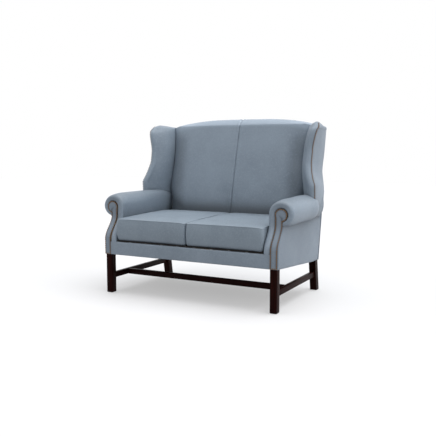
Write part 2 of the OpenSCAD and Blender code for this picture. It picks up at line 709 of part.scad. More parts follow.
// Inside back: side views at side shares s, joined across the width
back_side_steps = 6;
back_turn_steps = 4;
back_front_steps = 8;
back_arc_steps = 5;
top_power = 1.7;        // 1 is a quarter of an ellipse and 2 a straight bevel
seam_trim = facing_t;   // how far the back's skin runs past the seam before it is cut
function back_outline(s) = let (
    face = min(abs(s) * (1 + seam_trim / seam_mid), 1),
    z_top = back_top(s * (seam_x(height - top_rise) + seam_trim)),
    z_front = min(height - top_rise, z_top - top_least),
    y_front = back_face(face, z_front),
    y_crest = y_front + top_round_front,
    z_rear = max(z_top - top_round_rear, frame_top + tiny))
    concat(
        [for (i = [0 : back_front_steps]) let (z = mix(deck_top, z_front, i / back_front_steps))
            [back_face(face, z), z]],
        [for (i = [1 : back_arc_steps]) let (a = 90 * i / back_arc_steps)
            [mix(y_front, y_crest, 1 - pow(cos(a), top_power)), mix(z_front, z_top, pow(sin(a), top_power))]],
        [for (i = [1 : back_arc_steps]) let (a = 90 * i / back_arc_steps)
            [mix(y_crest, outside_y(z_rear), sin(a)), mix(z_top, z_rear, 1 - cos(a))]],
        [[outside_y(frame_top), frame_top]]);
function behind_y(z) = post_front(z) - web_t - soft_gap;
function back_inner() = let (
    front_n = back_front_steps + back_arc_steps,
    rear_n = back_arc_steps + 2)
    concat(
        [for (i = [0 : front_n - 1]) let (z = mix(deck_top, frame_top, i / (front_n - 1)))
            [behind_y(z), z]],
        [for (i = [1 : rear_n])
            [mix(behind_y(frame_top), post_rear(frame_top), i / rear_n), frame_top]]);
// The seam's groove runs up the front and over the crest, and dies out down the rear
function groove_way(i) = let (a = 90 * (i - back_front_steps) / back_arc_steps)
    a <= 0 ? [1, 0] : a <= 90 ? [cos(a), -sin(a)] : a < 180 ? [0, -1] * (2 - a / 90) : [0, 0];
function back_ring(s, groove) = let (outline = band(back_outline(s), back_inner()))
    [for (i = [0 : len(outline) - 1]) let (p = outline[i] + groove * groove_way(i))
        [s * (seam_x(min(p[1], wing_top)) + seam_trim), p[0], p[1]]];
fold_share = seam_fold / seam_mid;
turn_share = side_turn_w / seam_mid;
back_shares = concat(
    [for (i = [0 : back_turn_steps]) 1 - turn_share * (1 - cos(90 * i / back_turn_steps))],
    [for (i = [1 : back_side_steps]) mix(1 - turn_share, fold_share * 2, i / back_side_steps)],
    [fold_share, fold_share / 3]);
// What lies beyond the seam between the back and the wing, or between the back and the arm
module beyond_seam() {
    saddle_z = roll_surface(arm_in, fade_to) - saddle;
    side = arm_in - soft_gap;
    translate([0, depth, 0]) rotate([90, 0, 0]) linear_extrude(depth) polygon(concat(
        [[width / 2, 0], [side, 0], [side, saddle_z], [seam_x(wing_base) - soft_gap, saddle_z]],
        [for (z = seam_levels) [seam_x(z) - soft_gap, z]],
        [[seam_x(wing_top), height + cut], [width / 2, height + cut]]));
}
module inside_back() color(leather) bench() difference() {
    band_skin(concat(
        [for (s = back_shares) back_ring(s, 0)], [back_ring(0, seam_depth)],
        [for (s = reversed(back_shares)) back_ring(-s, 0)]));
    for (side = [-1, 1]) both_sides(side) {
        beyond_seam();
        arm_padding();
    }
}

// Inside wing: plan views from the arm to the top
wing_face_steps = 7;
wing_arc_steps = 8;
wing_n = wing_face_steps + wing_arc_steps + 2;
wing_rear_n = 7;
wing_front_n = wing_n - wing_rear_n;
wing_arc_start = 196;   // where the face runs into the rolled edge, in degrees
swell_way = [-0.8, -0.6];
function wing_outer(z, inset) = let (
    ex = edge_x(z), ey = edge_y(z), cx = ex - wing_round, cy = ey + wing_round,
    r = wing_round - inset,
    seam = [seam_x(z), back_face(1, z)],
    start = [cx + r * cos(wing_arc_start), cy + r * sin(wing_arc_start)])
    concat(
        [for (i = [0 : wing_face_steps]) let (u = i / wing_face_steps, p = mix(seam, start, u))
            p + (wing_swell - inset) * sin(180 * u) * swell_way],
        [for (i = [1 : wing_arc_steps]) let (a = mix(wing_arc_start, 360, i / wing_arc_steps))
            [cx + r * cos(a), cy + r * sin(a)]],
        [[ex - inset, ey + wing_round + tiny]]);
// Inner line of the wing's padding, drawn through the middle of the board, which is then cut out
function board_mid(z, y) = board_out(z, y) - board_t / 2;
function seam_y(z) = edge_y(z) + wing_round + tiny;
function wing_core(z) = concat(
    [for (i = [0 : wing_rear_n - 1]) let (u = i / (wing_rear_n - 1))
        [mix(seam_x(z), board_mid(z, post_front(z)), u), post_front(z) - soft_gap]],
    [for (i = [1 : wing_front_n]) let (y = mix(post_front(z), seam_y(z), i / wing_front_n))
        [board_mid(z, y), y]]);
function wing_full(z, inset) = let (rear = outside_y(z) - inset, corner = [rear_corner(z) - inset, rear])
    concat(
        [for (i = [0 : wing_rear_n - 1]) mix([seam_x(z), rear], corner, i / (wing_rear_n - 1))],
        [for (i = [1 : wing_front_n]) mix(corner, [edge_x(z) - inset, seam_y(z)], i / wing_front_n)]);
function wing_fall(y) = wing_top_fall * ease((y - edge_y(wing_top)) / wing_reach);
function lifted(points, z, fall) = [for (p = points) [p[0], p[1], z - fall * wing_fall(p[1])]];
// The foot follows the raked post forward as it runs down onto the roll
function saddled(points) = let (front = edge_y(wing_base), reach = post_front(wing_base) - front)
    [for (p = points) let (z = roll_surface(p[0], p[1]) - saddle,
        u = min(max((p[1] - front) / reach, 0), 1))
        [p[0], p[1] - u * (post_front(wing_base) - post_front(z) + tiny), z]];
saddle = facing_t;      // how far the wing's foot runs into the roll before it is cut
// Rings of the wing's top: share of its height, of the rounding and of the fall to the rear
wing_cap_shares = [[0.35, 0, 0.25], [0.7, 0.1, 0.8], [0.9, 0.35, 1], [1, 0.75, 1]];
cap_h = wing_top - frame_top;
seam_levels = concat([for (k = [0 : wing_levels]) wing_z(k)], [frame_top + tiny],
    [for (c = wing_cap_shares) frame_top + cap_h * c[0]]);
module inside_wing(side) color(leather) bench() both_sides(side) difference() {
    band_skin(concat(
        [saddled(band(wing_outer(wing_base, 0), wing_core(wing_base)))],
        [for (k = [0 : wing_levels]) let (z = wing_z(k))
            lifted(band(wing_outer(z, 0), wing_core(z)), z, 0)],
        [let (z = frame_top + tiny) lifted(band(wing_outer(z, 0), wing_full(z, 0)), z, 0)],
        [for (c = wing_cap_shares) let (z = frame_top + cap_h * c[0], inset = wing_round * c[1])
            lifted(band(wing_outer(z, inset), wing_full(z, inset)), z, c[2])]));
    board_body(soft_gap);
    arm_padding();
}

// Inside arm: views from the front, from the facing to the back post
arm_arc_steps = 20;
arm_pole_start = 180 + acos(min((pole_x - stem_in) / pole_r, 1));
arm_pole_end = -acos((body_half - pole_x) / pole_r);
pole_wrap = pole_r / cos((arm_pole_start - arm_pole_end) / (arm_arc_steps - 1) / 2);
function roll_point(y, a) = let (c = cos(a), s = sin(a),
    rx = c < 0 ? arm_w / 2 : roll_out(y),
    n = c < 0 && s > 0 ? roll_power(y) : 2)
    [roll_cx + sign(c) * rx * pow(abs(c), 2 / n),
     roll_cz(y) + sign(s) * roll_rz(y) * pow(abs(s), 2 / n)];
function roll_end(y) = -acos(min((outer_x - roll_cx) / roll_out(y), 1));
function arm_outer(y) = concat(
    [for (i = [0 : 3]) [arm_in, mix(rail_top, roll_cz(y), i / 4)]],
    [for (i = [0 : arm_arc_steps]) roll_point(y, mix(180, roll_end(y), i / arm_arc_steps))]);
function arm_inner(y) = let (start_z = pole_z - pole_r * sin(arm_pole_start - 180)) concat(
    [for (i = [0 : 3]) [stem_in, mix(rail_top, start_z, i / 4)]],
    [for (i = [0 : arm_arc_steps - 1])
        let (a = mix(arm_pole_start, arm_pole_end, i / (arm_arc_steps - 1)))
        [pole_x + pole_wrap * cos(a), pole_z + pole_wrap * sin(a)]],
    [[body_half, lip_z(y)]]);
// The front rings draw in toward the middle of the padding: share of the width kept, and of the set-back
arm_front_shares = [[0.3, 0], [0.72, 0.12], [0.93, 0.4], [1, 1]];
arm_y_shares = [0.09, 0.2, 0.35, 0.5, 0.62, 0.72, 0.81, 0.9, 1];
function arm_ring(t, set, keep) = let (
    y_mid = mix(arm_y(set_to) + set, post_front(pole_z), t),
    o = arm_outer(y_mid), n = arm_inner(y_mid), m = (o + n) / 2)
    [for (p = band(m + (o - m) * keep, m + (n - m) * keep))
        [p[0], mix(arm_y(p[1]) + set, post_front(p[1]) - soft_gap, t), p[1]]];
module arm_padding() band_skin(concat(
    [for (f = arm_front_shares) arm_ring(0, border_round * f[1], f[0])],
    [for (t = arm_y_shares) arm_ring(t, border_round, 1)]));
module inside_arm(side) color(leather) bench() both_sides(side) difference() {
    arm_padding();
    board_body(soft_gap);
}

// Arm facing and the outside panels
module arm_facing(side) color(leather_side) bench() both_sides(side) {
    s_board(stem_in, body_half, front_clear, pole_z, 0, facing_t);
    head(pole_r, 0, facing_t);
}
panel_steps = 10;
module outside_arm(side) color(leather_side) bench() both_sides(side) {
    clear = soft_gap + tiny;
    z0 = lip_z(post_front(pole_z));
    top = [for (i = [0 : panel_steps])
        let (y = mix(arm_y(set_to) + border_round, post_front(pole_z), i / panel_steps))
        [y, lip_z(y) - clear]];
    side_prism(body_half, outer_x, concat(
        s_line(panel_set, front_clear, lip_z(0) - clear), top,
        [[post_rear(z0), z0], [post_rear(rear_clear), rear_clear]]));
    band_skin([for (k = [0 : tail_steps]) tail_ring(mix(z0, shoulder_z, k / tail_steps))]);
}
// The end of the roll behind the pole, which narrows to the rear corner
tail_steps = 4;
function tail_ring(z) = let (y = post_front(z), q = (z - roll_cz(y)) / roll_rz(y)) [
    [max(roll_cx + roll_out(y) * sqrt(1 - q * q), outer_x), y, z],
    [rear_corner(z), post_rear(z), z], [body_half, post_rear(z), z], [body_half, y, z]
];
// The wing's outside panel, in front of the post and beside it
wing_panel_steps = 5;
function wing_panel_y(z) = concat(
    [for (i = [0 : wing_panel_steps]) mix(seam_y(z), post_front(z) - tiny, i / wing_panel_steps)],
    [post_front(z), post_rear(z)]);
function wing_panel_ring(z) = let (ys = wing_panel_y(z),
    outer = [for (y = ys) let (u = (y - ys[0]) / (post_rear(z) - ys[0]))
        [mix(edge_x(z), rear_corner(z), u) + facing_t / 2 * sin(180 * u), y]],
    inner = [for (y = ys) [y < post_front(z) ? board_mid(z, y) : post_out, y]])
    band(outer, inner);
function wing_foot(p) = let (front = seam_y(wing_base), reach = post_front(wing_base) - front,
    u = min((p[1] - front) / reach, 1),
    z = u == 1 ? shoulder_z + soft_gap : roll_surface(p[0], p[1]) - saddle)
    [p[0], p[1] - u * (post_front(wing_base) - post_front(z)), z];
module outside_wing(side) color(leather_side) bench() both_sides(side) difference() {
    band_skin(concat([[for (p = wing_panel_ring(wing_base)) wing_foot(p)]],
        [for (k = [0 : wing_levels]) lifted(wing_panel_ring(wing_z(k)), wing_z(k), 0)]));
    board_body(soft_gap);
    arm_padding();
}
back_panel_z = concat([rear_clear], [for (i = [0 : panel_steps]) mix(bend_z, frame_top, i / panel_steps)]);
module outside_back() color(leather_side) bench() {
    band_skin([for (z = back_panel_z)
        let (w = z < bend_z ? outer_x : rear_corner(z), rear_w = w - facing_t / 2) [
            [-w, post_rear(z), z], [w, post_rear(z), z],
            [rear_w, outside_y(z), z], [-rear_w, outside_y(z), z]
        ]]);
}

// Seat cushions: rings from the middle of the underside to the middle of the top
cushion_z0 = deck_top + soft_gap;
cushion_half = (arm_in - cushion_side_gap - cushion_gap / 2) / 2;
cushion_mid_x = cushion_gap / 2 + cushion_half;
crown_power = 2.5;
draw_power = 8;
function cushion_length(z) = back_face(0, z) - 2 * soft_gap;
function cushion_top(u, v) = seat_h + cushion_rise * sin(90 * v)
    + cushion_crown * (1 - pow(abs(2 * u - 1), crown_power)) * sin(180 * v);
corner_steps = 3;
edge_steps = 6;
corner_signs = [[1, 1], [-1, 1], [-1, -1], [1, -1]];
function corner_arc(hx, hy, r, q) = [for (k = [0 : corner_steps]) let (a = 90 * (q + k / corner_steps))
    [corner_signs[q][0] * (hx - r) + r * cos(a), corner_signs[q][1] * (hy - r) + r * sin(a)]];
function round_plan(hx, hy, r) = [for (q = [0 : 3]) each concat(corner_arc(hx, hy, r, q),
    let (a = corner_arc(hx, hy, r, q)[corner_steps], b = corner_arc(hx, hy, r, (q + 1) % 4)[0])
    [for (k = [1 : edge_steps]) mix(a, b, k / (edge_steps + 1))])];
// Each ring: share of the edge rounding, share of the height and share of the plan
cushion_ring_shares = [
    [1, 0, 0.5], [1, 0, 1], [0.4, 0.05, 1], [0.1, 0.15, 1], [0, 0.45, 1], [0.1, 0.8, 1], [0.25, 1, 1],
    [0.8, 1, 1], [1, 1, 0.8], [1, 1, 0.55], [1, 1, 0.28]
];
cushion_mid_l = cushion_length(seat_h);
function cushion_ring(c) = let (
    inset = cushion_edge * c[0],
    hx = cushion_half - inset,
    hy = cushion_mid_l / 2 - inset)
    [for (p = round_plan(hx, hy, max(cushion_corner - inset, foot_bevel))) let (
        a = p[0] / hx, b = p[1] / hy,
        x = (p[0] - sign(a) * cushion_draw * (1 - b * b) * pow(abs(a), draw_power)) * c[2],
        y = (p[1] - sign(b) * cushion_draw * (1 - a * a) * pow(abs(b), draw_power)) * c[2],
        u = x / cushion_half / 2 + 0.5, v = y / cushion_mid_l + 0.5,
        z = mix(cushion_z0, cushion_top(u, v), c[1]),
        swell = cushion_swell * sin(180 * c[1]) * pow(max(-b, 0), draw_power))
        [x + cushion_mid_x, v * cushion_length(z) - swell, z]];
module cushion_body(grow) {
    z0 = cushion_z0 + cover_t - grow;
    length = cushion_length(cushion_z0);
    block([cushion_mid_x - cushion_half + cushion_edge - grow, cushion_edge - grow, z0],
          [cushion_mid_x + cushion_half - cushion_edge + grow, length - cushion_edge + grow,
           seat_h - cover_t + grow]);
}
module cushion_cover(side) color(leather) bench() both_sides(side) difference() {
    puffed_skin([for (c = cushion_ring_shares) cushion_ring(c)],
        [cushion_mid_x, cushion_length(cushion_z0) / 2, cushion_z0],
        [cushion_mid_x, cushion_length(seat_h) / 2, cushion_top(0.5, 0.5)]);
    cushion_body(joint_gap);
}
module cushion_core(side) color(foam) bench() both_sides(side) cushion_body(0);

// Nails
module nail() {
    cylinder(r1 = nail_r, r2 = nail_r / 2, h = nail_h);
    translate([0, 0, -shank_l]) cylinder(r = shank_r, h = shank_l + nail_h / 2);
}
arm_row_z0 = front_clear + nail_r;
arm_row_in = pole_z + pole_r * sin(arm_pole_start);
arm_row_out = pole_z + pole_r * sin(arm_pole_end);
arm_row_arc = pole_r * (arm_pole_start - arm_pole_end) * PI / 180;
arm_row = (arm_row_in - arm_row_z0) + arm_row_arc + (arm_row_out - arm_row_z0);
function arm_nail(d) = let (l1 = arm_row_in - arm_row_z0, l2 = l1 + arm_row_arc)
    d < l1 ? [stem_in, arm_row_z0 + d]
    : d < l2 ? let (a = arm_pole_start - (d - l1) / pole_r * 180 / PI)
        [pole_x + pole_r * cos(a), pole_z + pole_r * sin(a)]
    : [body_half, arm_row_out - (d - l2)];
module arm_nail_at(p) {
    lean = atan((arm_y(p[1] + tiny) - arm_y(p[1] - tiny)) / (2 * tiny));
    translate([p[0], arm_y(p[1]), p[1]]) rotate([90 - lean, 0, 0]) nail();
}
module arm_nails(side) color(bronze) bench() both_sides(side) {
    count = floor(arm_row / nail_pitch);
    for (i = [0 : count]) arm_nail_at(arm_nail(arm_row * i / count));
    feet = floor(rail_t / nail_pitch);
    for (i = [1 : feet - 1]) arm_nail_at([stem_in + rail_t * i / feet, arm_row_z0]);
}
wing_nail_a = -27;      // how far round the wing's edge the nails stand, in degrees
function wing_nail(z) = [edge_x(z) - wing_round * (1 - cos(wing_nail_a)),
    edge_y(z) + wing_round * (1 + sin(wing_nail_a)), z];
function wing_nail_list(z, end) = z > end ? []
    : concat([z], wing_nail_list(z + nail_pitch * tiny / norm(wing_nail(z + tiny) - wing_nail(z)), end));
module wing_nails(side) color(bronze) bench() both_sides(side) {
    start = roll_surface(edge_x(wing_base), edge_y(wing_base) + wing_round / 2) + nail_r * 5 / 2;
    for (z = wing_nail_list(start, wing_top - nail_pitch))
        translate(wing_nail(z)) rotate([0, 90, wing_nail_a]) nail();
}

front_leg(-1);  // front_leg_left
front_leg(1);  // front_leg_right
back_post(-1);  // back_post_left
back_post(1);  // back_post_right
side_stretcher(-1);  // side_stretcher_left
side_stretcher(1);  // side_stretcher_right
cross_stretcher();
foot_glides();
front_seat_rail();
side_seat_rail(-1);  // side_seat_rail_left
side_seat_rail(1);  // side_seat_rail_right
rear_seat_rail();
seat_brace();
corner_blocks();
arm_front_post(-1);  // arm_front_post_left
arm_front_post(1);  // arm_front_post_right
arm_pole(-1);  // arm_pole_left
arm_pole(1);  // arm_pole_right
wing_board(-1);  // wing_board_left
wing_board(1);  // wing_board_right
back_top_rail();
back_lower_rail();
back_stile();
seat_springs();
spring_clips();
seat_deck();
dust_cover();
back_webbing();
arm_webbing();
front_border();
inside_back();
inside_wing(-1);  // inside_wing_left
inside_wing(1);  // inside_wing_right
inside_arm(-1);  // inside_arm_left
inside_arm(1);  // inside_arm_right
arm_facing(-1);  // arm_facing_left
arm_facing(1);  // arm_facing_right
outside_arm(-1);  // outside_arm_left
outside_arm(1);  // outside_arm_right
outside_wing(-1);  // outside_wing_left
outside_wing(1);  // outside_wing_right
outside_back();
cushion_cover(-1);  // cushion_cover_left
cushion_cover(1);  // cushion_cover_right
cushion_core(-1);  // cushion_core_left
cushion_core(1);  // cushion_core_right
arm_nails(-1);  // arm_nails_left
arm_nails(1);  // arm_nails_right
wing_nails(-1);  // wing_nails_left
wing_nails(1);  // wing_nails_right
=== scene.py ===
import math

import bmesh
import bpy
import numpy as np
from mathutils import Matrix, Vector


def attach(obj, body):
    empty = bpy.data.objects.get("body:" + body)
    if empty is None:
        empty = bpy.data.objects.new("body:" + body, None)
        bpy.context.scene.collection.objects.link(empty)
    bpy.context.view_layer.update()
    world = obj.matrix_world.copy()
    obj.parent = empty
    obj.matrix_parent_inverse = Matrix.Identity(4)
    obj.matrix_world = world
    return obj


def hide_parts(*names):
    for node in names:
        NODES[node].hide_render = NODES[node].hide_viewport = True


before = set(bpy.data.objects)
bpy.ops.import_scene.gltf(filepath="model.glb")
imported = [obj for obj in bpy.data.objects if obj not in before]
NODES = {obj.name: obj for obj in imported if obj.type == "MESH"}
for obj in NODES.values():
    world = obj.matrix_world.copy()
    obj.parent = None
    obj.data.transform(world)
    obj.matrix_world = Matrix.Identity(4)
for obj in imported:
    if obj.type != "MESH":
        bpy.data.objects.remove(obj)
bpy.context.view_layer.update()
SIDES = (("left", -1), ("right", 1))
FRAME_BODY = "settee_frame"

# The settee's lengths, in mm on a bench whose origin lies under the front of the legs.
# They repeat the named lengths of the part's source.
WIDTH, DEPTH, HEIGHT = 1316.0, 866.0, 1127.0
BENCH_Y = -421.5
# From the middle: outside and inside of the arm posts, outside and inside of the arms
BODY_HALF, STEM_IN, OUTER_X, ARM_IN = 590.0, 553.0, 600.0, 506.0
PANEL_T = OUTER_X - BODY_HALF
# Heights of the underside at the front and rear, the seat rails, the lining and the seat
FRONT_CLEAR, REAR_CLEAR, RAIL_TOP, DECK_TOP, SEAT_H = 253.0, 206.0, 335.0, 343.0, 481.0
FRAME_TOP, TOP_RAIL = 1050.0, 64.0
FACING_T, NAIL_H, NAIL_PITCH, SOFT_GAP = 8.0, 3.5, 12.0, 0.3
# The outside back's bend, its rakes above and below it, and the posts in it
BEND_Z, BACK_RAKE, LOW_RAKE = 511.0, 11.3, 9.9
REAR_Y = DEPTH - FACING_T - NAIL_H
POST_OUT, POST_D, SHOULDER_Z = 572.0, 46.0, 558.0
# The back as one leans on it: rake, padding, swell, curve toward the sides
LEAN, BACK_PAD, BACK_SWELL, BACK_CURVE = 13.3, 88.0, 8.0, 14.0
CURL_SHARE, CURL_FROM = 0.4, 0.9
SIDE_TURN, SIDE_TURN_LOW, SIDE_TURN_W, TURN_POWER = 18.0, 60.0, 85.0, 2.5
# Its crest: depth and rise of the rounding, least rise, and the fall toward the sides
TOP_DEEP, TOP_RISE, TOP_LEAST, CREST_POWER = 54.0, 40.0, 10.0, 1.7
TOP_FALL, FALL_HALF, FALL_POWER = 45.0, 535.0, 3.5
# The arm's front, which leans back in an S, and the scroll with its pole
ARM_SET, ARM_LEAN_FROM, ARM_LEAN_RUN = 73.0, 350.0, 150.0
ARM_TOP, ARM_DROP, ROLL_FRONT_H, ROLL_H, ROLL_RUN = 638.0, 14.0, 134.0, 158.0, 103.0
ROLL_CX, ROLL_IN, ROUND, SQUARER, LEAST_PAD = 582.0, 76.0, 2.0, 3.2, 6.0
POLE_X, POLE_Z, POLE_R = 584.0, 550.0, 34.0
BORDER_ROUND = 22.0
# The depth over which the underside falls to its rear height, and the front border's edge and tongue
CLEAR_RUN, BORDER_EDGE, TONGUE = 644.0, 6.0, 22.0
# The wings
WING_BASE, WING_TOP = 640.0, 1094.0
WING_REACH, WING_SWEEP, WING_FLARE, WING_ROUND = 222.0, 152.0, 40.0, 25.0
WING_SWELL, WING_FALL, WING_OUT, WING_IN = 15.0, 22.0, 8.0, 9.0
SEAM_SPREAD, SEAM_WAIST, SEAM_RUN = 30.0, 0.42, 0.59
BOARD_SET, BOARD_T, WING_ARC_START = 16.0, 24.0, 196.0
CAP_BASE, CAP_POWER = FRAME_TOP + 0.5, 0.9
# The cushions, with their gaps to the arms and to the middle
CUSHION_SIDE_GAP, CUSHION_MID_GAP, CUSHION_CORNER, CUSHION_RISE, CUSHION_CROWN = 3.0, 0.5, 18.0, 13.0, 9.0
CUSHION_Z = DECK_TOP + SOFT_GAP
CUSHION_HALF = (ARM_IN - CUSHION_SIDE_GAP - CUSHION_MID_GAP) / 2
CUSHION_MID = CUSHION_MID_GAP + CUSHION_HALF
# The nails' domes, how far those of the arms stand behind the facing's plane, and where those of the
# wings stand on the rounded edge
DOME_R, DOME_H, DOME_SKIRT, NAIL_SINK = 4.3, 3.3, 0.8, 0.3
WING_NAIL_ANGLE = math.radians(-27)
FLOOR_LIFT = 0.4
# The wing's edge in shares of its height, flare and sweep, and the rear corner in shares of the
# settee's height and the panel's thickness
WING_EDGE_SHARES = [(0, 1, .02), (.11, 1, 0), (.214, .575, .08), (.33, .2, .2), (.443, 0, .316),
                    (.608, .025, .4), (.773, .325, .42), (.87, .575, .48), (.925, .675, .63),
                    (.969, .575, .77), (1, .4, 1)]
REAR_CORNER_SHARES = [(.453, .6), (.486, .9), (.561, 1.4), (.611, .7), (.703, -1), (.802, -.6),
                      (.942, -.5)]


def ease(u):
    """From nought to one with a soft start and end."""
    return (1 - np.cos(np.pi * np.clip(u, 0, 1))) / 2


def mix(a, b, u):
    return a + (b - a) * u


def tan(degrees):
    return math.tan(math.radians(degrees))


def shares(n, start=0.0, end=1.0):
    return np.linspace(start, end, n)


def cols(*a):
    """Points from their coordinates, each a number or a row of numbers."""
    return np.stack(np.broadcast_arrays(*[np.asarray(x, float) for x in a]), -1)


def curve(pairs):
    """A smooth monotone curve through pairs of (u, value)."""
    x, y = (np.array(c, float) for c in zip(*pairs))
    h, d = np.diff(x), np.diff(y) / np.diff(x)
    m = np.zeros(len(x))
    m[0], m[-1] = d[0], d[-1]
    for i in range(1, len(x) - 1):
        if d[i - 1] * d[i] > 0:
            w1, w2 = 2 * h[i] + h[i - 1], h[i] + 2 * h[i - 1]
            m[i] = (w1 + w2) / (w1 / d[i - 1] + w2 / d[i])

    def value(u):
        u = np.clip(np.asarray(u, float), x[0], x[-1])
        i = np.clip(np.searchsorted(x, u, side="right") - 1, 0, len(x) - 2)
        t = (u - x[i]) / h[i]
        return ((1 + 2 * t) * (1 - t) ** 2 * y[i] + t * (1 - t) ** 2 * h[i] * m[i]
                + t * t * (3 - 2 * t) * y[i + 1] + t * t * (t - 1) * h[i] * m[i + 1])
    return value


# The outside back, the posts in it and the surface one leans on, by height
BEND_Y = REAR_Y - (FRAME_TOP + TOP_RAIL / 3 - BEND_Z) * tan(BACK_RAKE)


def outside_y(z):
    z = np.asarray(z, float)
    above = np.minimum(BEND_Y + (z - BEND_Z) * tan(BACK_RAKE), REAR_Y)
    return np.where(z > BEND_Z, above, BEND_Y - (BEND_Z - z) * tan(LOW_RAKE))


def post_rear(z):
    return outside_y(z) - FACING_T


def post_front(z):
    return post_rear(z) - POST_D


BEND_FRONT = float(post_front(BEND_Z))


def lean_y(z):
    return BEND_FRONT - BACK_PAD + (np.asarray(z, float) - BEND_Z) * tan(LEAN)


# The arm's front by height, and the roll's section by depth
def arm_y(z):
    return -FACING_T + ARM_SET * ease((np.asarray(z, float) - ARM_LEAN_FROM) / ARM_LEAN_RUN)


ARM_Y_TOP = float(arm_y(ARM_LEAN_FROM + ARM_LEAN_RUN))
FADE_FROM = BEND_FRONT - WING_REACH


def roll_grow(y):
    return np.sin(np.pi / 2 * np.clip((y - ARM_Y_TOP) / ROLL_RUN, 0, 1))


def roll_rz(y):
    return mix(ROLL_FRONT_H, ROLL_H, roll_grow(y)) / 2


def roll_top(y):
    return ARM_TOP - ARM_DROP * (1 - roll_grow(y))


def roll_cz(y):
    return roll_top(y) - roll_rz(y)


def roll_out(y):
    outer = mix(WIDTH / 2, OUTER_X, ease((y - FADE_FROM) / WING_REACH))
    return np.maximum(outer, POLE_X + POLE_R + LEAST_PAD) - ROLL_CX


def roll_power(y):
    return ROUND + (SQUARER - ROUND) * ease((y - FADE_FROM / 2) / (FADE_FROM / 2))


def roll_surface(x, y, widest=0.985):
    """Height of the roll's upper surface."""
    x, y = np.asarray(x, float), np.asarray(y, float)
    inner = x < ROLL_CX
    n = np.where(inner, roll_power(y), ROUND)
    q = np.minimum(np.abs(x - ROLL_CX) / np.where(inner, ROLL_IN, roll_out(y)), widest)
    return roll_cz(y) + roll_rz(y) * (1 - q ** n) ** (1 / n)


def lip_z(y):
    """Height at which the roll meets the arm's outer panel."""
    return roll_cz(y) - roll_rz(y) * np.sqrt(1 - np.minimum((OUTER_X - ROLL_CX) / roll_out(y), 1) ** 2)


# The wing's front edge, its board and the seams round it, by height
flare_of = curve([(r[0], r[1]) for r in WING_EDGE_SHARES])
sweep_of = curve([(r[0], r[2]) for r in WING_EDGE_SHARES])
corner_of = curve(REAR_CORNER_SHARES)


def wing_u(z):
    return (np.asarray(z, float) - WING_BASE) / (WING_TOP - WING_BASE)


def edge_x(z):
    return BODY_HALF + WING_OUT + WING_FLARE * flare_of(wing_u(z))


def edge_y(z):
    return BEND_FRONT - WING_REACH + WING_SWEEP * sweep_of(wing_u(z))


def rear_corner(z):
    return BODY_HALF + PANEL_T * corner_of(np.asarray(z, float) / HEIGHT)


def seam_x(z):
    return ARM_IN - WING_IN + SEAM_SPREAD * ((np.maximum(wing_u(z), 0) - SEAM_WAIST) / SEAM_RUN) ** 2


def seam_y(z):
    return edge_y(z) + WING_ROUND + 0.5


def board_y(z):
    return edge_y(z) + BOARD_SET


def board_out(z, y):
    front = edge_x(z) - WING_ROUND / 2
    return mix(front, POST_OUT, (y - board_y(z)) / (post_front(z) - board_y(z)))


def board_mid(z, y):
    return board_out(z, y) - BOARD_T / 2


def wing_fall(y):
    return WING_FALL * ease((y - float(edge_y(WING_TOP))) / WING_REACH)


def cap_inset(phi):
    """How far the wing's cover has drawn in at angle phi of the rounding over its top."""
    return WING_ROUND * .8 * (1 - math.cos(phi)) ** .8


# The back's width, top and face
MID_Z = WING_BASE + ROLL_H
SEAM_MID = float(seam_x(MID_Z))


def back_half(z):
    """Half the width of the back's cover: to the arm's padding below, to the wing's seam above."""
    z = np.asarray(z, float)
    q = np.clip((z - ARM_TOP + ROLL_H / 2) / (ROLL_H / 2), 0, 1)
    roll = np.where(z > ARM_TOP, ROLL_CX, ROLL_CX - ROLL_IN * (1 - q ** SQUARER) ** (1 / SQUARER))
    return np.minimum(seam_x(np.minimum(z, WING_TOP)), roll - SOFT_GAP)


def back_top(x):
    return HEIGHT - TOP_FALL * (np.abs(x) / FALL_HALF) ** FALL_POWER


def back_face(s, z):
    """Front surface of the back at side share s and height z."""
    a, z = np.abs(np.asarray(s, float)), np.asarray(z, float)
    curl = a ** 3 - CURL_SHARE * (np.maximum(a - CURL_FROM, 0) / (1 - CURL_FROM)) ** 2
    turned = np.maximum(a - 1 + SIDE_TURN_W / SEAM_MID, 0) / (SIDE_TURN_W / SEAM_MID)
    turn = mix(SIDE_TURN_LOW, SIDE_TURN, ease((z - POLE_Z) / ROLL_H)) * turned ** TURN_POWER
    swell = BACK_SWELL * np.sin(np.pi * np.clip((z - DECK_TOP) / (HEIGHT - DECK_TOP), 0, 1))
    rise = ease((z - SEAT_H) / (MID_Z - SEAT_H))
    return lean_y(z) - swell - rise * BACK_CURVE * curl + turn


def sine_noise(p, scale, seed, waves=9, level=4.2):
    """Smooth, repeatable noise from a few sine waves, about -1 to 1, at points p in mm."""
    rng = np.random.RandomState(seed)
    out = np.zeros(len(p))
    for _ in range(waves):
        d = rng.normal(size=3)
        d /= np.linalg.norm(d)
        out += np.sin(p @ d * 2 * np.pi / (scale * rng.uniform(.6, 1.6)) + rng.uniform(0, 2 * np.pi))
    return out / level


def unevenness(p, seed):
    """How leather lies over wadding: broad swells with small ones on them."""
    return sine_noise(p, 260, seed) * .6 + sine_noise(p, 95, seed + 9) * .3


def fading(d, depth, reach):
    """A tone that is full at a line and dies away over the distance d from it."""
    return depth * np.exp(-np.maximum(d, 0) / reach)


def spot(d, depth, reach, power=2):
    """A tone that is full at a line and keeps to a band on both sides of it."""
    return depth * np.exp(-np.abs(d / reach) ** power)


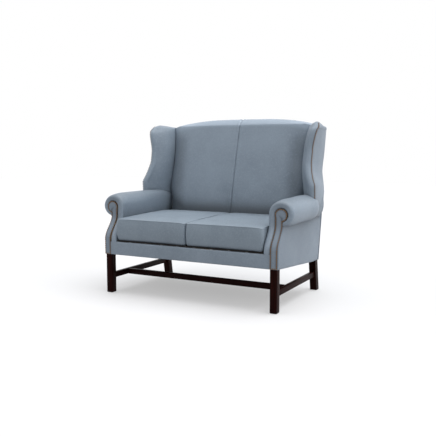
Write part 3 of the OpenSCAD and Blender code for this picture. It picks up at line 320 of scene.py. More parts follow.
def loft(rings, cap="band"):
    """A closed skin over rings of equal length. A band cap joins a ring's halves, a fan meets in a point."""
    rings = [np.asarray(r, float) for r in rings]
    m, n = len(rings), len(rings[0])
    pts = np.concatenate(rings)
    faces = []
    for r in range(m - 1):
        for i in range(n):
            a, b = r * n + i, r * n + (i + 1) % n
            faces.append((a, b, b + n, a + n))
    for ring, first in ((0, 0), (-1, (m - 1) * n)):
        if cap == "band":
            last = first + n - 1
            faces += [(first + i, first + i + 1, last - 1 - i, last - i) for i in range(n // 2 - 1)]
        else:
            faces += [(first + i, first + (i + 1) % n, len(pts)) for i in range(n)]
            pts = np.vstack([pts, rings[ring].mean(0)])
    return pts, faces


def band(outer, inner):
    return np.concatenate([outer, inner[::-1]])


def place(name, mesh, material, slot, node=None, body=FRAME_BODY, fill=None):
    """Put a mesh in the scene on its body with its finish, and hide the CAD node that it stands for."""
    mesh.materials.append(material)
    piece = bpy.data.objects.new(name, mesh)
    bpy.context.scene.collection.objects.link(piece)
    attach(piece, body)
    if node:
        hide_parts(node)


def build(name, skin, side=1, smooth=50, soft=0.0, seed=1, tint=None, **placing):
    """A piece from a skin in mm. Side -1 mirrors it, soft is how unevenly it lies, tint gives its tone."""
    mesh = bpy.data.meshes.new(name)
    mesh.from_pydata([tuple(p) for p in np.array(skin[0], float)], [], skin[1])
    mesh.validate()
    bm = bmesh.new()
    bm.from_mesh(mesh)
    bmesh.ops.remove_doubles(bm, verts=bm.verts, dist=0.01)
    bmesh.ops.recalc_face_normals(bm, faces=bm.faces)
    bm.to_mesh(mesh)
    bm.free()
    co, normal = np.zeros(len(mesh.vertices) * 3), np.zeros(len(mesh.vertices) * 3)
    mesh.vertices.foreach_get("co", co)
    mesh.vertices.foreach_get("normal", normal)
    co = co.reshape(-1, 3)
    if soft:
        co = co + normal.reshape(-1, 3) * (unevenness(co, seed) * soft)[:, None]
    tone = np.zeros(len(co)) if tint is None else np.clip(tint(*co.T), -1, 1)
    mesh.attributes.new("tone", "FLOAT", "POINT").data.foreach_set("value", tone.astype(np.float32))
    placed = (co * np.array([side, 1, 1]) + np.array([0, BENCH_Y, 0])) * 0.001
    mesh.vertices.foreach_set("co", placed.ravel())
    if side < 0:
        mesh.flip_normals()
    mesh.update()
    mesh.shade_smooth()
    mesh.set_sharp_from_angle(angle=math.radians(smooth))
    place(name, mesh, **placing)


class Mat:
    """A small helper round a material's nodes."""
    def __init__(self, name):
        self.made = bpy.data.materials.new(name)
        self.made.use_nodes = True
        self.tree = self.made.node_tree
        self.shader = self.tree.nodes["Principled BSDF"]

    def node(self, kind, **values):
        node = self.tree.nodes.new(kind)
        for k, v in values.items():
            if k in node.inputs:
                node.inputs[k].default_value = v
            else:
                setattr(node, k, v)
        return node

    def link(self, a, b):
        self.tree.links.new(a, b)

    def set(self, **values):
        """Give the shader's sockets a number, a colour or another node's output."""
        for key, value in values.items():
            socket = self.shader.inputs[key.replace("_", " ")]
            if hasattr(value, "is_output"):
                self.link(value, socket)
            else:
                socket.default_value = value

    def feed(self, node, places, values):
        for place_at, value in zip(places, values):
            if isinstance(value, (int, float)):
                node.inputs[place_at].default_value = value
            elif isinstance(value, tuple):
                node.inputs[place_at].default_value = (*value, 1)
            else:
                self.link(value, node.inputs[place_at])

    def coords(self, scale=(1, 1, 1)):
        where, mapping = self.node("ShaderNodeTexCoord"), self.node("ShaderNodeMapping")
        mapping.inputs["Scale"].default_value = scale
        self.link(where.outputs["Object"], mapping.inputs["Vector"])
        return mapping.outputs["Vector"]

    def noise(self, vec, scale, detail=3, rough=.5, distortion=0.0):
        n = self.node("ShaderNodeTexNoise", Scale=scale, Detail=detail, Roughness=rough,
                      Distortion=distortion)
        self.link(vec, n.inputs["Vector"])
        return n.outputs["Fac"]

    def ramp(self, fac, stops):
        r = self.node("ShaderNodeValToRGB")
        while len(r.color_ramp.elements) < len(stops):
            r.color_ramp.elements.new(0.5)
        for element, (position, colour) in zip(r.color_ramp.elements, stops):
            element.position = position
            element.color = (*colour, 1)
        self.link(fac, r.inputs["Fac"])
        return r.outputs["Color"]

    def math(self, operation, a, b):
        n = self.node("ShaderNodeMath", operation=operation)
        self.feed(n, (0, 1), (a, b))
        return n.outputs[0]

    def blend(self, fac, a, b, kind="MIX"):
        n = self.node("ShaderNodeMix", data_type="RGBA", blend_type=kind)
        self.feed(n, (0, 6, 7), (fac, a, b))
        return n.outputs[2]

    def remap(self, fac, lo, hi, start=0.0, end=1.0):
        n = self.node("ShaderNodeMapRange")
        self.feed(n, ("Value", "From Min", "From Max", "To Min", "To Max"), (fac, start, end, lo, hi))
        return n.outputs["Result"]

    def bump(self, height, distance, strength=1.0, normal=None):
        n = self.node("ShaderNodeBump", Distance=distance, Strength=strength)
        self.link(height, n.inputs["Height"])
        if normal is not None:
            self.link(normal, n.inputs["Normal"])
        return n.outputs["Normal"]

    def tone(self):
        return self.node("ShaderNodeAttribute", attribute_name="tone").outputs["Fac"]


def srgb(r, g, b):
    parts = (r / 255, g / 255, b / 255)
    return tuple(c / 12.92 if c <= .04045 else ((c + .055) / 1.055) ** 2.4 for c in parts)


def leather(name, base, light, dark):
    m = Mat(name)
    v = m.coords()
    mottle = m.noise(v, scale=24, detail=5, rough=.62, distortion=.6)
    cloud = m.noise(v, scale=3.2, detail=4, rough=.55, distortion=.4)
    col = m.ramp(cloud, [(.3, dark), (.5, base), (.72, light)])
    col = m.blend(m.remap(mottle, 0, .34, .42, .72), col, light)
    col = m.blend(m.remap(m.noise(v, scale=210, rough=.6), 0, .62, .46, .68), col, dark)
    col = m.blend(m.remap(m.noise(v, scale=92, rough=.6), 0, .6, .52, .66), col, light)
    # the tone attribute paints light and shade into the colour: below nought it darkens toward near black, as
    # painted shade in creases, corners, round the nails and under the rolls, and for the dark seam lines;
    # above nought it lightens, as a painted highlight on lit tops and edges
    tone = m.tone()
    col = m.blend(m.remap(tone, 0, .85, 0, -1), col, tuple(c * .18 for c in dark))
    col = m.blend(m.remap(tone, 0, .85, 0, 1), col, tuple(c * 1.4 for c in light))
    # pebbled grain with finer pores, and a few long soft creases
    cells = m.node("ShaderNodeTexVoronoi", feature="DISTANCE_TO_EDGE", Scale=430)
    wander = m.node("ShaderNodeTexNoise", Scale=60).outputs["Color"]
    m.link(m.blend(.35, v, wander, "LINEAR_LIGHT"), cells.inputs["Vector"])
    grain = m.remap(cells.outputs["Distance"], 0, 1, 0, .22)
    pores = m.noise(v, scale=900, detail=2)
    height = m.math("ADD", m.math("MULTIPLY", grain, .75), m.math("MULTIPLY", pores, .3))
    hide = m.bump(m.noise(v, scale=38, detail=5, rough=.6, distortion=1.2), .0012, .35)
    worn = m.math("ADD", m.math("MULTIPLY", grain, -.4), mottle)
    m.set(Base_Color=col, Normal=m.bump(height, .00028, .55, hide), Roughness=m.remap(worn, .40, .62, 0, .75),
          Specular_IOR_Level=.42, Sheen_Weight=.12, Sheen_Roughness=.45, Sheen_Tint=(.82, .9, 1, 1))
    return m.made


LEATHER = leather("leather", srgb(130, 143, 156), srgb(141, 154, 168), srgb(119, 132, 145))
LEATHER_SIDE = leather("leather_side", srgb(129, 142, 156), srgb(140, 153, 167), srgb(118, 131, 145))
LEATHER_CUSHION = leather("cushion_leather", srgb(125, 138, 150), srgb(136, 149, 161), srgb(114, 126, 138))


def wood(name, colours, grain_axis, gloss, specular, scale=1.0):
    base, dark, light = colours
    m = Mat(name)
    stretch = [26 * scale] * 3
    stretch[grain_axis] = 1.6 * scale
    v = m.coords(tuple(stretch))
    fibre = m.noise(v, scale=7, detail=6, rough=.6, distortion=.3)
    rings = m.noise(v, scale=1.6, distortion=1.5)
    col = m.ramp(fibre, [(.32, dark), (.52, base), (.74, light)])
    col = m.blend(m.remap(rings, 0, .6, .45, .7), col, dark)
    bevel = m.node("ShaderNodeBevel", samples=4, Radius=.0015)
    m.set(Base_Color=col, Roughness=m.remap(fibre, gloss, gloss + .14),
          Normal=m.bump(fibre, .0004, .4, bevel.outputs["Normal"]), Specular_IOR_Level=specular)
    return m.made


# Each wood's base, dark and light colour
DARK = (srgb(30, 5, 3), srgb(15, 2, 1), srgb(48, 12, 8))
PALE = (srgb(203, 172, 128), srgb(176, 141, 97), srgb(222, 196, 156))
MAHOGANY_X, MAHOGANY_Y, MAHOGANY_Z = (
    wood("mahogany_" + kind, DARK, axis, gloss=.34, specular=.04)
    for axis, kind in enumerate(("cross", "side", "upright")))
BEECH_X, BEECH_Y, BEECH_Z = (
    wood("beech_" + kind, PALE, axis, gloss=.6, specular=.3, scale=.8) for axis, kind in enumerate("xyz"))


def metal(name, base, dark, rough, scale=300, rim=False):
    m = Mat(name)
    age = m.noise(m.coords(), scale, detail=4, rough=.6)
    col = m.ramp(age, [(.3, dark), (.62, base)])
    if rim:
        # the rim darkens with the tone: painted shade where a nail head meets the leather, with patina
        col = m.blend(m.remap(m.tone(), 0, .95, .25, -.9), col, tuple(c * .25 for c in dark))
    m.set(Base_Color=col, Roughness=m.remap(age, rough + .2, rough), Normal=m.bump(age, .0002, .3),
          Metallic=1)
    return m.made


BRONZE = metal("antique_bronze", srgb(190, 152, 114), srgb(122, 92, 64), .34, 500, rim=True)
STEEL = metal("steel", srgb(168, 170, 172), srgb(120, 122, 126), .3)


def weave(name, base, dark, scale, depth):
    m = Mat(name)
    v = m.coords()
    threads = []
    for axis in "XYZ":
        wave = m.node("ShaderNodeTexWave", wave_type="BANDS", bands_direction=axis, Scale=scale,
                      Distortion=1.2, Detail=1)
        m.link(v, wave.inputs["Vector"])
        threads.append(wave.outputs["Fac"])
    height = m.math("ADD", m.math("MAXIMUM", threads[0], threads[1]), threads[2])
    col = m.ramp(m.math("MULTIPLY", height, .5), [(.2, dark), (.8, base)])
    m.set(Base_Color=m.blend(m.remap(m.noise(v, scale=12, detail=4), 0, .3), col, dark),
          Normal=m.bump(height, depth, .6), Roughness=.9)
    return m.made


LINING = weave("lining", srgb(30, 20, 19), srgb(12, 7, 7), 420, .0004)
JUTE = weave("webbing", srgb(182, 152, 108), srgb(120, 96, 62), 160, .0008)


def foam():
    m = Mat("foam")
    cells = m.node("ShaderNodeTexVoronoi", Scale=520)
    m.link(m.coords(), cells.inputs["Vector"])
    pits = cells.outputs["Distance"]
    m.set(Base_Color=m.ramp(pits, [(0, srgb(206, 190, 138)), (.7, srgb(236, 226, 184))]),
          Normal=m.bump(pits, .0006, .7), Roughness=.95)
    return m.made


# The hidden frame, springs, webbing and linings keep the CAD's shapes and get their finish here
finish_of = dict.fromkeys(("seat_deck", "dust_cover"), LINING)
finish_of.update(dict.fromkeys(("back_webbing", "arm_webbing"), JUTE))
finish_of.update(dict.fromkeys(("seat_springs", "spring_clips", "foot_glides"), STEEL))
finish_of.update(dict.fromkeys(
    ("front_seat_rail", "rear_seat_rail", "corner_blocks", "back_top_rail", "back_lower_rail"), BEECH_X))
finish_of.update({"seat_brace": BEECH_Y, "back_stile": BEECH_Z})
FOAM = foam()
for s, _ in SIDES:
    finish_of.update({"side_seat_rail_" + s: BEECH_Y, "arm_front_post_" + s: BEECH_Z,
                      "arm_pole_" + s: BEECH_Y, "wing_board_" + s: BEECH_Z, "cushion_core_" + s: FOAM})
for kept, material in finish_of.items():
    for material_slot in NODES[kept].material_slots:
        material_slot.material = material
    NODES[kept].data.shade_smooth()
    NODES[kept].data.set_sharp_from_angle(angle=math.radians(30))


def softened(node, material, width=.0016):
    """A copy of a node of the show wood with its edges eased."""
    mesh = NODES[node].data.copy()
    mesh.name = node + "_shown"
    mesh.materials.clear()
    bm = bmesh.new()
    bm.from_mesh(mesh)
    bmesh.ops.remove_doubles(bm, verts=bm.verts, dist=1e-5)
    bmesh.ops.dissolve_limit(bm, angle_limit=math.radians(1), verts=bm.verts, edges=bm.edges)
    edges = [e for e in bm.edges if len(e.link_faces) == 2 and e.calc_face_angle(0) > math.radians(35)]
    bmesh.ops.bevel(bm, geom=edges, offset=width, segments=3, profile=.5, affect="EDGES", clamp_overlap=True)
    bm.to_mesh(mesh)
    bm.free()
    mesh.shade_smooth()
    mesh.set_sharp_from_angle(angle=math.radians(32))
    place(node + "_wood", mesh, material, "mahogany", node)


for s, _ in SIDES:
    softened("front_leg_" + s, MAHOGANY_Z)
    softened("back_post_" + s, MAHOGANY_Z)
    softened("side_stretcher_" + s, MAHOGANY_Y)
softened("cross_stretcher", MAHOGANY_X)


def groove(d, width=14, depth=5.0):
    """A stitched seam's fold: a sharp crease between two soft swells."""
    d = np.abs(d) / width
    return depth * (np.exp(-(d * 3.2) ** 2) - .35 * np.exp(-((d - 1) * 1.8) ** 2))


def back_outline(s, n_front=70, n_arc=14):
    """Points and outward directions at side share s: up the front, over the crest, down to the rear."""
    z_top = float(back_top(s * float(seam_x(HEIGHT - TOP_RISE))))
    z_front, z_rear = min(HEIGHT - TOP_RISE, z_top - TOP_LEAST), FRAME_TOP - SOFT_GAP
    z = mix(DECK_TOP + .5, z_front, shares(n_front))
    y_front = float(back_face(s, z_front))
    y_crest = y_front + TOP_DEEP
    a = shares(n_arc + 1, end=np.pi / 2)[1:]
    rising = cols(mix(y_front, y_crest, 1 - np.cos(a) ** CREST_POWER),
                  mix(z_front, z_top, np.sin(a) ** CREST_POWER))
    falling = cols(mix(y_crest, float(outside_y(z_rear)), np.sin(a)), mix(z_top, z_rear, 1 - np.cos(a)))
    points = np.concatenate([cols(back_face(s, z), z), rising, falling])
    forward = np.tile([-1.0, 0.0], (n_front, 1))
    return points, np.concatenate([forward, cols(-np.cos(a), np.sin(a)), cols(np.sin(a), np.cos(a))])


def inside_back():
    half = np.concatenate([shares(10, 0, .03), shares(10, .036, .1),
                           shares(52, .12, .86), shares(22, .87, 1)])
    rings = []
    for s in np.concatenate([-half[:0:-1], half]):
        p, outward = back_outline(s)
        y, z = p.T
        x = s * back_half(z)
        fade = np.clip((np.hypot(y - outside_y(FRAME_TOP), z - FRAME_TOP) - 10) / 40, 0, 1)
        # the leather is drawn in toward the centre seam in small puckers, and tucked in at the sides
        puckers = spot(x, .5, 34) * np.sin(z * 2 * np.pi / 23 + np.sin(z / 31) * 2) * (np.abs(x) > 2)
        tuck = spot((1 - abs(s)) * 500, 2.5, 5)
        q = p - outward * (groove(x) * fade + puckers + tuck)[:, None]
        inner_z = mix(DECK_TOP + .5, FRAME_TOP - .8, shares(len(q)))
        rings.append(band(cols(x, q[:, 0], q[:, 1]), cols(x, post_front(inner_z) - 2.4, inner_z)))

    def tone(x, y, z):
        # painted shade by the wing seams and above the seat cushions, where the wings and cushions shade the
        # back; painted highlight rising up the back and on the crest; a dark line at the centre seam
        beside, below = back_half(z) - np.abs(x), back_top(x) - z
        low = 1 - ease((z - 960) / 120)
        side = -.2 * np.exp(-beside / 3) - .56 * (1 - ease((beside - 56) / 100)) * low
        foot = spot(np.maximum(z - SEAT_H - 14, 0), -1.05, 66) * (y < 700)
        lit = .2 * ease((z - 560) / 220) + .12 * np.exp(-below / 90) + .45 * (1 - ease((below - 24) / 34))
        return spot(x, -1, 1.5) + side + foot + lit * (y < outside_y(z) - 6)
    build("back_cover", loft(rings), soft=1.6, seed=11, tint=tone,
          material=LEATHER, slot="leather", node="inside_back", fill=.8)


def wing_outer(z, inset, nf=44, na=20):
    """The wing's section at height z, from the back's seam over its face and round its front edge."""
    centre = np.array([float(edge_x(z)) - WING_ROUND, float(edge_y(z)) + WING_ROUND])
    first, r = math.radians(WING_ARC_START), WING_ROUND - inset
    seam = np.array([float(seam_x(z)), float(back_face(1, z))])
    start = centre + r * np.array([math.cos(first), math.sin(first)])
    u, a = shares(nf)[:, None], shares(na, first, 2 * np.pi)[1:]
    face = seam + (start - seam) * u + (WING_SWELL - inset) * np.sin(np.pi * u) * np.array([[-.8, -.6]])
    arc = centre + r * cols(np.cos(a), np.sin(a))
    return np.concatenate([face, arc, [[float(edge_x(z)) - inset, float(seam_y(z))]]])


def wing_core(z, n, rear_n=26):
    """As many points on the cover's hidden side: along the back post and over the wing board."""
    pf = float(post_front(z))
    rear = cols(mix(float(seam_x(z)), float(board_mid(z, pf)), shares(rear_n)), pf - .4)
    y = mix(pf, float(seam_y(z)), shares(n - rear_n + 1)[1:])
    return np.concatenate([rear, cols(board_mid(z, y), y)])


def wing_full(z, inset, n, rear_n=26):
    """The same above the frame, where the cover goes round the wing's rear corner and its outside."""
    rear = float(outside_y(z)) - inset
    seam = np.array([float(seam_x(z)), rear])
    corner = np.array([float(rear_corner(z)) - inset, rear])
    front = np.array([float(edge_x(z)) - inset, float(seam_y(z))])
    u, v = shares(rear_n)[:, None], shares(n - rear_n + 1)[1:, None]
    return np.concatenate([seam * (1 - u) + corner * u, corner * (1 - v) + front * v])


def inside_wing(name, side):
    outer = wing_outer(WING_BASE, 0)
    x, y = band(outer, wing_core(WING_BASE, len(outer))).T
    foot_z = roll_surface(x, y) - 5
    front, rear = float(edge_y(WING_BASE)), float(post_front(WING_BASE))
    u = np.clip((y - front) / (rear - front), 0, 1)
    rings = []
    for k in (0, .25, .5, .75):
        z = mix(foot_z, WING_BASE, k)
        rings.append(cols(x, y - u * (rear - post_front(z) + .5 * (1 - k)), z))
    for z in shares(46, WING_BASE, FRAME_TOP):
        outer = wing_outer(z, 0)
        rings.append(cols(*band(outer, wing_core(z, len(outer))).T, z))
    for t in shares(12):
        phi = t * np.pi / 2
        z = mix(CAP_BASE, WING_TOP, math.sin(phi) ** CAP_POWER)
        outer = wing_outer(z, cap_inset(phi))
        x, y = band(outer, wing_full(z, cap_inset(phi), len(outer))).T
        rings.append(cols(x, y, z - wing_fall(y) * min(ease(t * .9 + .1) * 1.03, 1)))

    def tone(x, y, z):
        # painted shade: a dark band round the nail row, a dark line at the back's seam with wide shade in the
        # corner beside it, and shade where the wing meets the roll; painted highlight along the front edge
        seam = np.hypot(x - seam_x(z), y - back_face(1, z))
        nail_row = np.hypot(x - edge_x(z) + 2.7, y - edge_y(z) - 13.6)
        fold = fading(seam, .4, 3) + fading(seam, .42, 48) * (1 - ease((z - 800) / 260))
        foot = fading(z - roll_surface(x, y), .7, 5)
        return spot(y - edge_y(z), .25, 7) - fading(nail_row, 1.2, 3.2) - fold - foot
    build("wing_cover_" + name, loft(rings), side, smooth=60, soft=1.2, seed=21, tint=tone,
          material=LEATHER, slot="leather", node="inside_wing_" + name, fill=.8)


def head_arc(inset=0.0):
    """The angles at which the facing's round head meets its stem's inner and outer sides."""
    r = POLE_R - inset
    start = math.pi + math.asin(math.sqrt(1 - ((POLE_X - STEM_IN - inset) / r) ** 2))
    return start, -math.acos((BODY_HALF - POLE_X - inset) / r)


ARC_START, ARC_END = head_arc()


def facing_edge(x, z):
    """How far a point of the arm's front lies outside the facing's head, or beside its stem's sides."""
    stem = np.minimum(np.abs(x - STEM_IN), np.abs(x - BODY_HALF))
    return np.where(z > POLE_Z - 12, np.hypot(x - POLE_X, z - POLE_Z) - POLE_R, stem)


def roll_point(y, a):
    """Points of the roll's section at depth y and angles a."""
    c, s = np.cos(a), np.sin(a)
    rx = np.where(c < 0, ROLL_IN, roll_out(y))
    n = np.where((c < 0) & (s > 0), roll_power(y), ROUND)
    return cols(ROLL_CX + np.sign(c) * rx * np.abs(c) ** (2 / n),
                roll_cz(y) + np.sign(s) * roll_rz(y) * np.abs(s) ** (2 / n))


def arm_outer(y, nw=22, na=72):
    """The arm's section at depth y, from the seat rail up the wall and round the roll to the outer panel."""
    end = -math.acos(min((OUTER_X - ROLL_CX) / float(roll_out(y)), 1))
    wall = cols(ARM_IN, mix(RAIL_TOP, float(roll_cz(y)), shares(nw + 1)[:-1]))
    return np.concatenate([wall, roll_point(y, mix(math.pi, end, shares(na + 1)))])


def arm_inner(y, nw=22, na=72):
    """As many points on the padding's hidden side: up the front post's stem and round the pole."""
    wall = cols(STEM_IN, mix(RAIL_TOP, POLE_Z + POLE_R * math.sin(ARC_START), shares(nw + 1)[:-1]))
    a, r = mix(ARC_START, ARC_END, shares(na)), POLE_R + .5
    arc = cols(POLE_X + r * np.cos(a), POLE_Z + r * np.sin(a))
    return np.concatenate([wall, arc, [[BODY_HALF, float(lip_z(y))]]])


def arm_ring(t, set_back, keep):
    """The padding at share t of the arm's depth. Keep is how much of its thickness it has."""
    y_mid = mix(ARM_Y_TOP + set_back, float(post_front(POLE_Z)), t)
    outer, inner = arm_outer(y_mid), arm_inner(y_mid)
    middle = (outer + inner) / 2
    x, z = band(mix(middle, outer, keep), mix(middle, inner, keep)).T
    return cols(x, mix(arm_y(z) + set_back, post_front(z) - SOFT_GAP, t), z)


def inside_arm(name, side):
    """The arm's padding, with the rounded border that it makes about the facing."""
    rings = []
    for a in shares(13, end=np.pi / 2):
        rings.append(arm_ring(0, BORDER_ROUND * (1 - math.cos(a)) ** 1.1, .18 + .82 * math.sin(a)))
    for t in np.concatenate([shares(6, .01, .1), shares(46, .12, 1)]):
        rings.append(arm_ring(t, BORDER_ROUND, 1))

    def tone(x, y, z):
        # painted shade round the facing's nails, toward the back, under the roll's outer lip, above the seat
        # cushion and over the roll's top; painted highlight on the roll's outer side
        front = y < arm_y(z) + 10
        w = fading(facing_edge(x, z), -1.1, 4.2) * front + fading(post_front(z) - 92 - y, -.2, 14)
        w += fading(z - lip_z(y), -.7, 12) * (x > BODY_HALF - 2) * ~front
        w += spot(np.maximum(z - SEAT_H - 8, 0), -.6, 62, 1.6) * (x < POLE_X - 20) * ~front
        return w + spot(z - roll_top(y), -.34, 40) + .2 * ease((x - POLE_X - 26) / 40)
    build("arm_cover_" + name, loft(rings), side, soft=1.0, seed=31, tint=tone,
          material=LEATHER, slot="leather", node="inside_arm_" + name, fill=.85)


def keyhole(inset, n_stem=46, n_head=56):
    """The facing's outline from the inner foot, up, round the head and down to the outer foot."""
    r, foot = POLE_R - inset, FRONT_CLEAR + inset
    start, end = head_arc(inset)
    a = shares(n_head, start, end)[1:-1]
    left = cols(STEM_IN + inset, shares(n_stem, foot, POLE_Z + r * math.sin(start)))
    head = cols(POLE_X + r * np.cos(a), POLE_Z + r * np.sin(a))
    right = cols(BODY_HALF - inset, shares(n_stem, POLE_Z + r * math.sin(end), foot))
    return np.concatenate([left, head, right])


def arm_facing(name, side):
    """The keyhole panel of the arm's front, slightly padded."""
    rings = []
    for inset, set_back in ((0, 8), (0, 1.6), (1.6, .2), (4, -.7), (8, -1.4), (12, -1.8), (15.5, -2)):
        x, z = keyhole(inset).T
        rings.append(cols(x, arm_y(z) + set_back, z))

    def tone(x, y, z):
        # painted shade: dark round the nails at the facing's edge, and the whole front-facing panel a little
        # darker
        return fading(np.abs(facing_edge(x, z)), -1.1, 3.6) - .2
    build("arm_facing_cover_" + name, loft(rings), side, soft=.3, seed=41, tint=tone,
          material=LEATHER_SIDE, slot="leather_side", node="arm_facing_" + name)


def outside_arm(name, side):
    pf = float(post_front(POLE_Z))
    z_lip = float(lip_z(pf))
    y_rear = float(post_rear(z_lip))
    rings = []
    # columns from the front edge to the rear corner, each up the outside and down the inside
    for u in shares(120):
        top = float(lip_z(min(max(u * y_rear, ARM_Y_TOP + BORDER_ROUND), pf))) + 2
        foot = mix(FRONT_CLEAR, REAR_CLEAR, min(u * y_rear / CLEAR_RUN, 1))
        z = shares(40, foot, top)
        y = mix(arm_y(z) + 2.5, post_rear(z) + 1.0, u)
        edge = min(u, 1 - u) * y_rear
        ends = (1 - np.exp(-(z - foot) / 22)) * (1 - np.exp(-(top - z) / 26))
        swell = 3.2 * (1 - math.exp(-edge / 30)) * ends
        rounding = 5 * max(0, 1 - edge / 7) ** 2 + 3 * np.clip(1 - (z - foot) / 6, 0, 1) ** 2
        rings.append(band(cols(OUTER_X - 3.4 + swell - rounding, y, z), cols(BODY_HALF + .2, y, z)))

    def tone(x, y, z):
        # painted shade under the roll's lip and along the front edge, and the whole panel a little darker
        return fading(np.abs(lip_z(y) - z), -.5, 14) + fading(np.abs(y - arm_y(z)), -.6, 5) - .13
    build("outside_arm_cover_" + name, loft(rings), side, soft=.7, seed=51, tint=tone,
          material=LEATHER_SIDE, slot="leather_side", node="outside_arm_" + name)
    # the end of the roll behind the arm pole, which narrows to the rear corner
    rings = []
    for z in shares(26, z_lip - 2, SHOULDER_Z):
        y0, y1 = float(post_front(z)) - 6, float(post_rear(z))
        q = np.clip((z - float(roll_cz(y0))) / float(roll_rz(y0)), -1, 1)
        front = max(ROLL_CX + float(roll_out(y0)) * math.sqrt(1 - q * q), OUTER_X - 1)
        u = shares(16)
        x, y = mix(front, float(rear_corner(z)), (ease(u) + u) / 2), mix(y0, y1, u)
        rings.append(band(cols(x, y, z), cols(BODY_HALF - 1, y, z)))
    build("arm_tail_" + name, loft(rings), side, smooth=60, soft=.4, seed=52,
          material=LEATHER_SIDE, slot="leather_side")


def outside_wing_ring(z):
    """The panel's section at height z, out along its face and back along the board and the post."""
    u = shares(60)
    y = mix(float(seam_y(z)), float(post_rear(z)) + 4, u)
    x = mix(float(edge_x(z)), float(rear_corner(z)), u) + 4 * np.sin(np.pi * u) - 1.6 * np.exp(-u * 40)
    x = x - 3.5 * np.clip((u - .985) / .015, 0, 1) ** 2
    inner = np.where(y < float(post_front(z)), board_out(z, y), POST_OUT) + .2
    return band(cols(x, y, z), cols(inner, y, z))


def outside_wing(name, side):
    x, y, _ = outside_wing_ring(WING_BASE).T
    front, rear = float(seam_y(WING_BASE)), float(post_front(WING_BASE))
    u = np.clip((y - front) / (rear - front), 0, 1)
    foot_z = mix(roll_surface(x, y) - 3, SHOULDER_Z - 1, ease((y - rear + 14) / 14))
    rings = []
    for k in shares(7)[:-1]:
        z = mix(foot_z, WING_BASE, k)
        rings.append(cols(x, y - u * (rear - post_front(z)), z))
    rings += [outside_wing_ring(z) for z in shares(50, WING_BASE, CAP_BASE)]

    def tone(x, y, z):
        # painted shade along the nailed front seam, where the panel meets the roll, and under the top's
        # rounding
        foot = fading(z - roll_surface(x, y), -.6, 6) * (y < post_front(z))
        return fading(y - seam_y(z), -.5, 5) + foot + fading(FRAME_TOP - z, -.4, 3)
    build("outside_wing_cover_" + name, loft(rings), side, soft=.6, seed=61, tint=tone,
          material=LEATHER_SIDE, slot="leather_side", node="outside_wing_" + name)


def outside_back():
    low, top = REAR_CLEAR, FRAME_TOP
    levels = np.concatenate([shares(6, low, low + 8), shares(76, low + 12, top - 12),
                             shares(6, top - 8, top)])
    u = np.concatenate([shares(7, -1, -.985)[:-1], shares(90, -.985, .985), shares(7, .985, 1)[1:]])
    rings = []
    for z in levels:
        half = OUTER_X if z < BEND_Z else float(rear_corner(z))
        edge = np.minimum((1 - np.abs(u)) * half, min(z - low, top - z + 3))
        rounding = 6.5 * np.clip(1 - edge / 8, 0, 1) ** 2
        sag = 1.4 * np.sin(np.pi * np.clip((z - low) / (top - low), 0, 1)) * (1 - u ** 2)
        outer = cols(u * half, float(outside_y(z)) - rounding - SOFT_GAP - sag, z)
        rings.append(band(outer, cols(u * half, float(post_rear(z)), z)))

    def tone(x, y, z):
        # painted shade along the panel's rounded sides and top
        half = np.where(z < BEND_Z, OUTER_X, rear_corner(z))
        return fading(np.minimum(half - np.abs(x), top - z), -.4, 5)
    build("outside_back_cover", loft(rings), soft=.8, seed=71, tint=tone,
          material=LEATHER_SIDE, slot="leather_side", node="outside_back")


def front_border():
    """The padded strip under the cushions, with the tongue that goes in over the seat rail."""
    rings = []
    for x in np.concatenate([shares(12, -STEM_IN, -497), shares(130, -494, 494), shares(12, 497, STEM_IN)]):
        r = BORDER_EDGE * float(ease((503 - abs(x)) / 8)) + .05
        a, b = shares(8, end=np.pi / 2), shares(7, end=np.pi / 2)[1:]
        face = shares(22, RAIL_TOP - r, FRONT_CLEAR + BORDER_EDGE)[1:]
        middle = float(ease((540 - abs(x)) / 60))
        bulge = 1.2 * np.sin(np.pi * (RAIL_TOP - face) / (RAIL_TOP - FRONT_CLEAR)) * middle
        z = np.concatenate([[RAIL_TOP + 1.2, RAIL_TOP + 1.2, RAIL_TOP], RAIL_TOP - r * (1 - np.cos(a)),
                            face, FRONT_CLEAR + BORDER_EDGE * (1 - np.sin(b))])
        y = np.concatenate([[TONGUE, 3, 0], -FACING_T + r * (1 - np.sin(a)),
                            -FACING_T - bulge, -FACING_T + BORDER_EDGE * (1 - np.cos(b))])
        inner = cols(x, 0, shares(len(y), RAIL_TOP, FRONT_CLEAR))
        inner[:2] = [[x, TONGUE, RAIL_TOP + .3], [x, 2.5, RAIL_TOP + .3]]
        rings.append(band(cols(x, y, z), inner))

    def tone(x, y, z):
        # painted shade: dark by the arm facings' nails at the ends, the tongue over the rail dark where it
        # shows in the shaded gap under the cushions, and the front-facing strip a little darker
        return fading(STEM_IN - np.abs(x), -1, 3.6) - (y > 1.5) - .1
    build("front_border_cover", loft(rings), soft=.5, seed=81, tint=tone,
          material=LEATHER, slot="leather", node="front_border")


inside_back()
outside_back()
front_border()
for s, side in SIDES:
    inside_wing(s, side)
    inside_arm(s, side)
    arm_facing(s, side)
    outside_arm(s, side)
    outside_wing(s, side)


def cushion_length(z):
    return back_face(0, z) - .6


def cushion_top(u, v):
    """The top's height at shares u of the width and v of the depth."""
    crown = CUSHION_CROWN * (1 - np.abs(2 * u - 1) ** 2.5) * np.sin(np.pi * np.clip(v, 0, 1))
    return SEAT_H + CUSHION_RISE * np.sin(np.pi / 2 * v) + crown


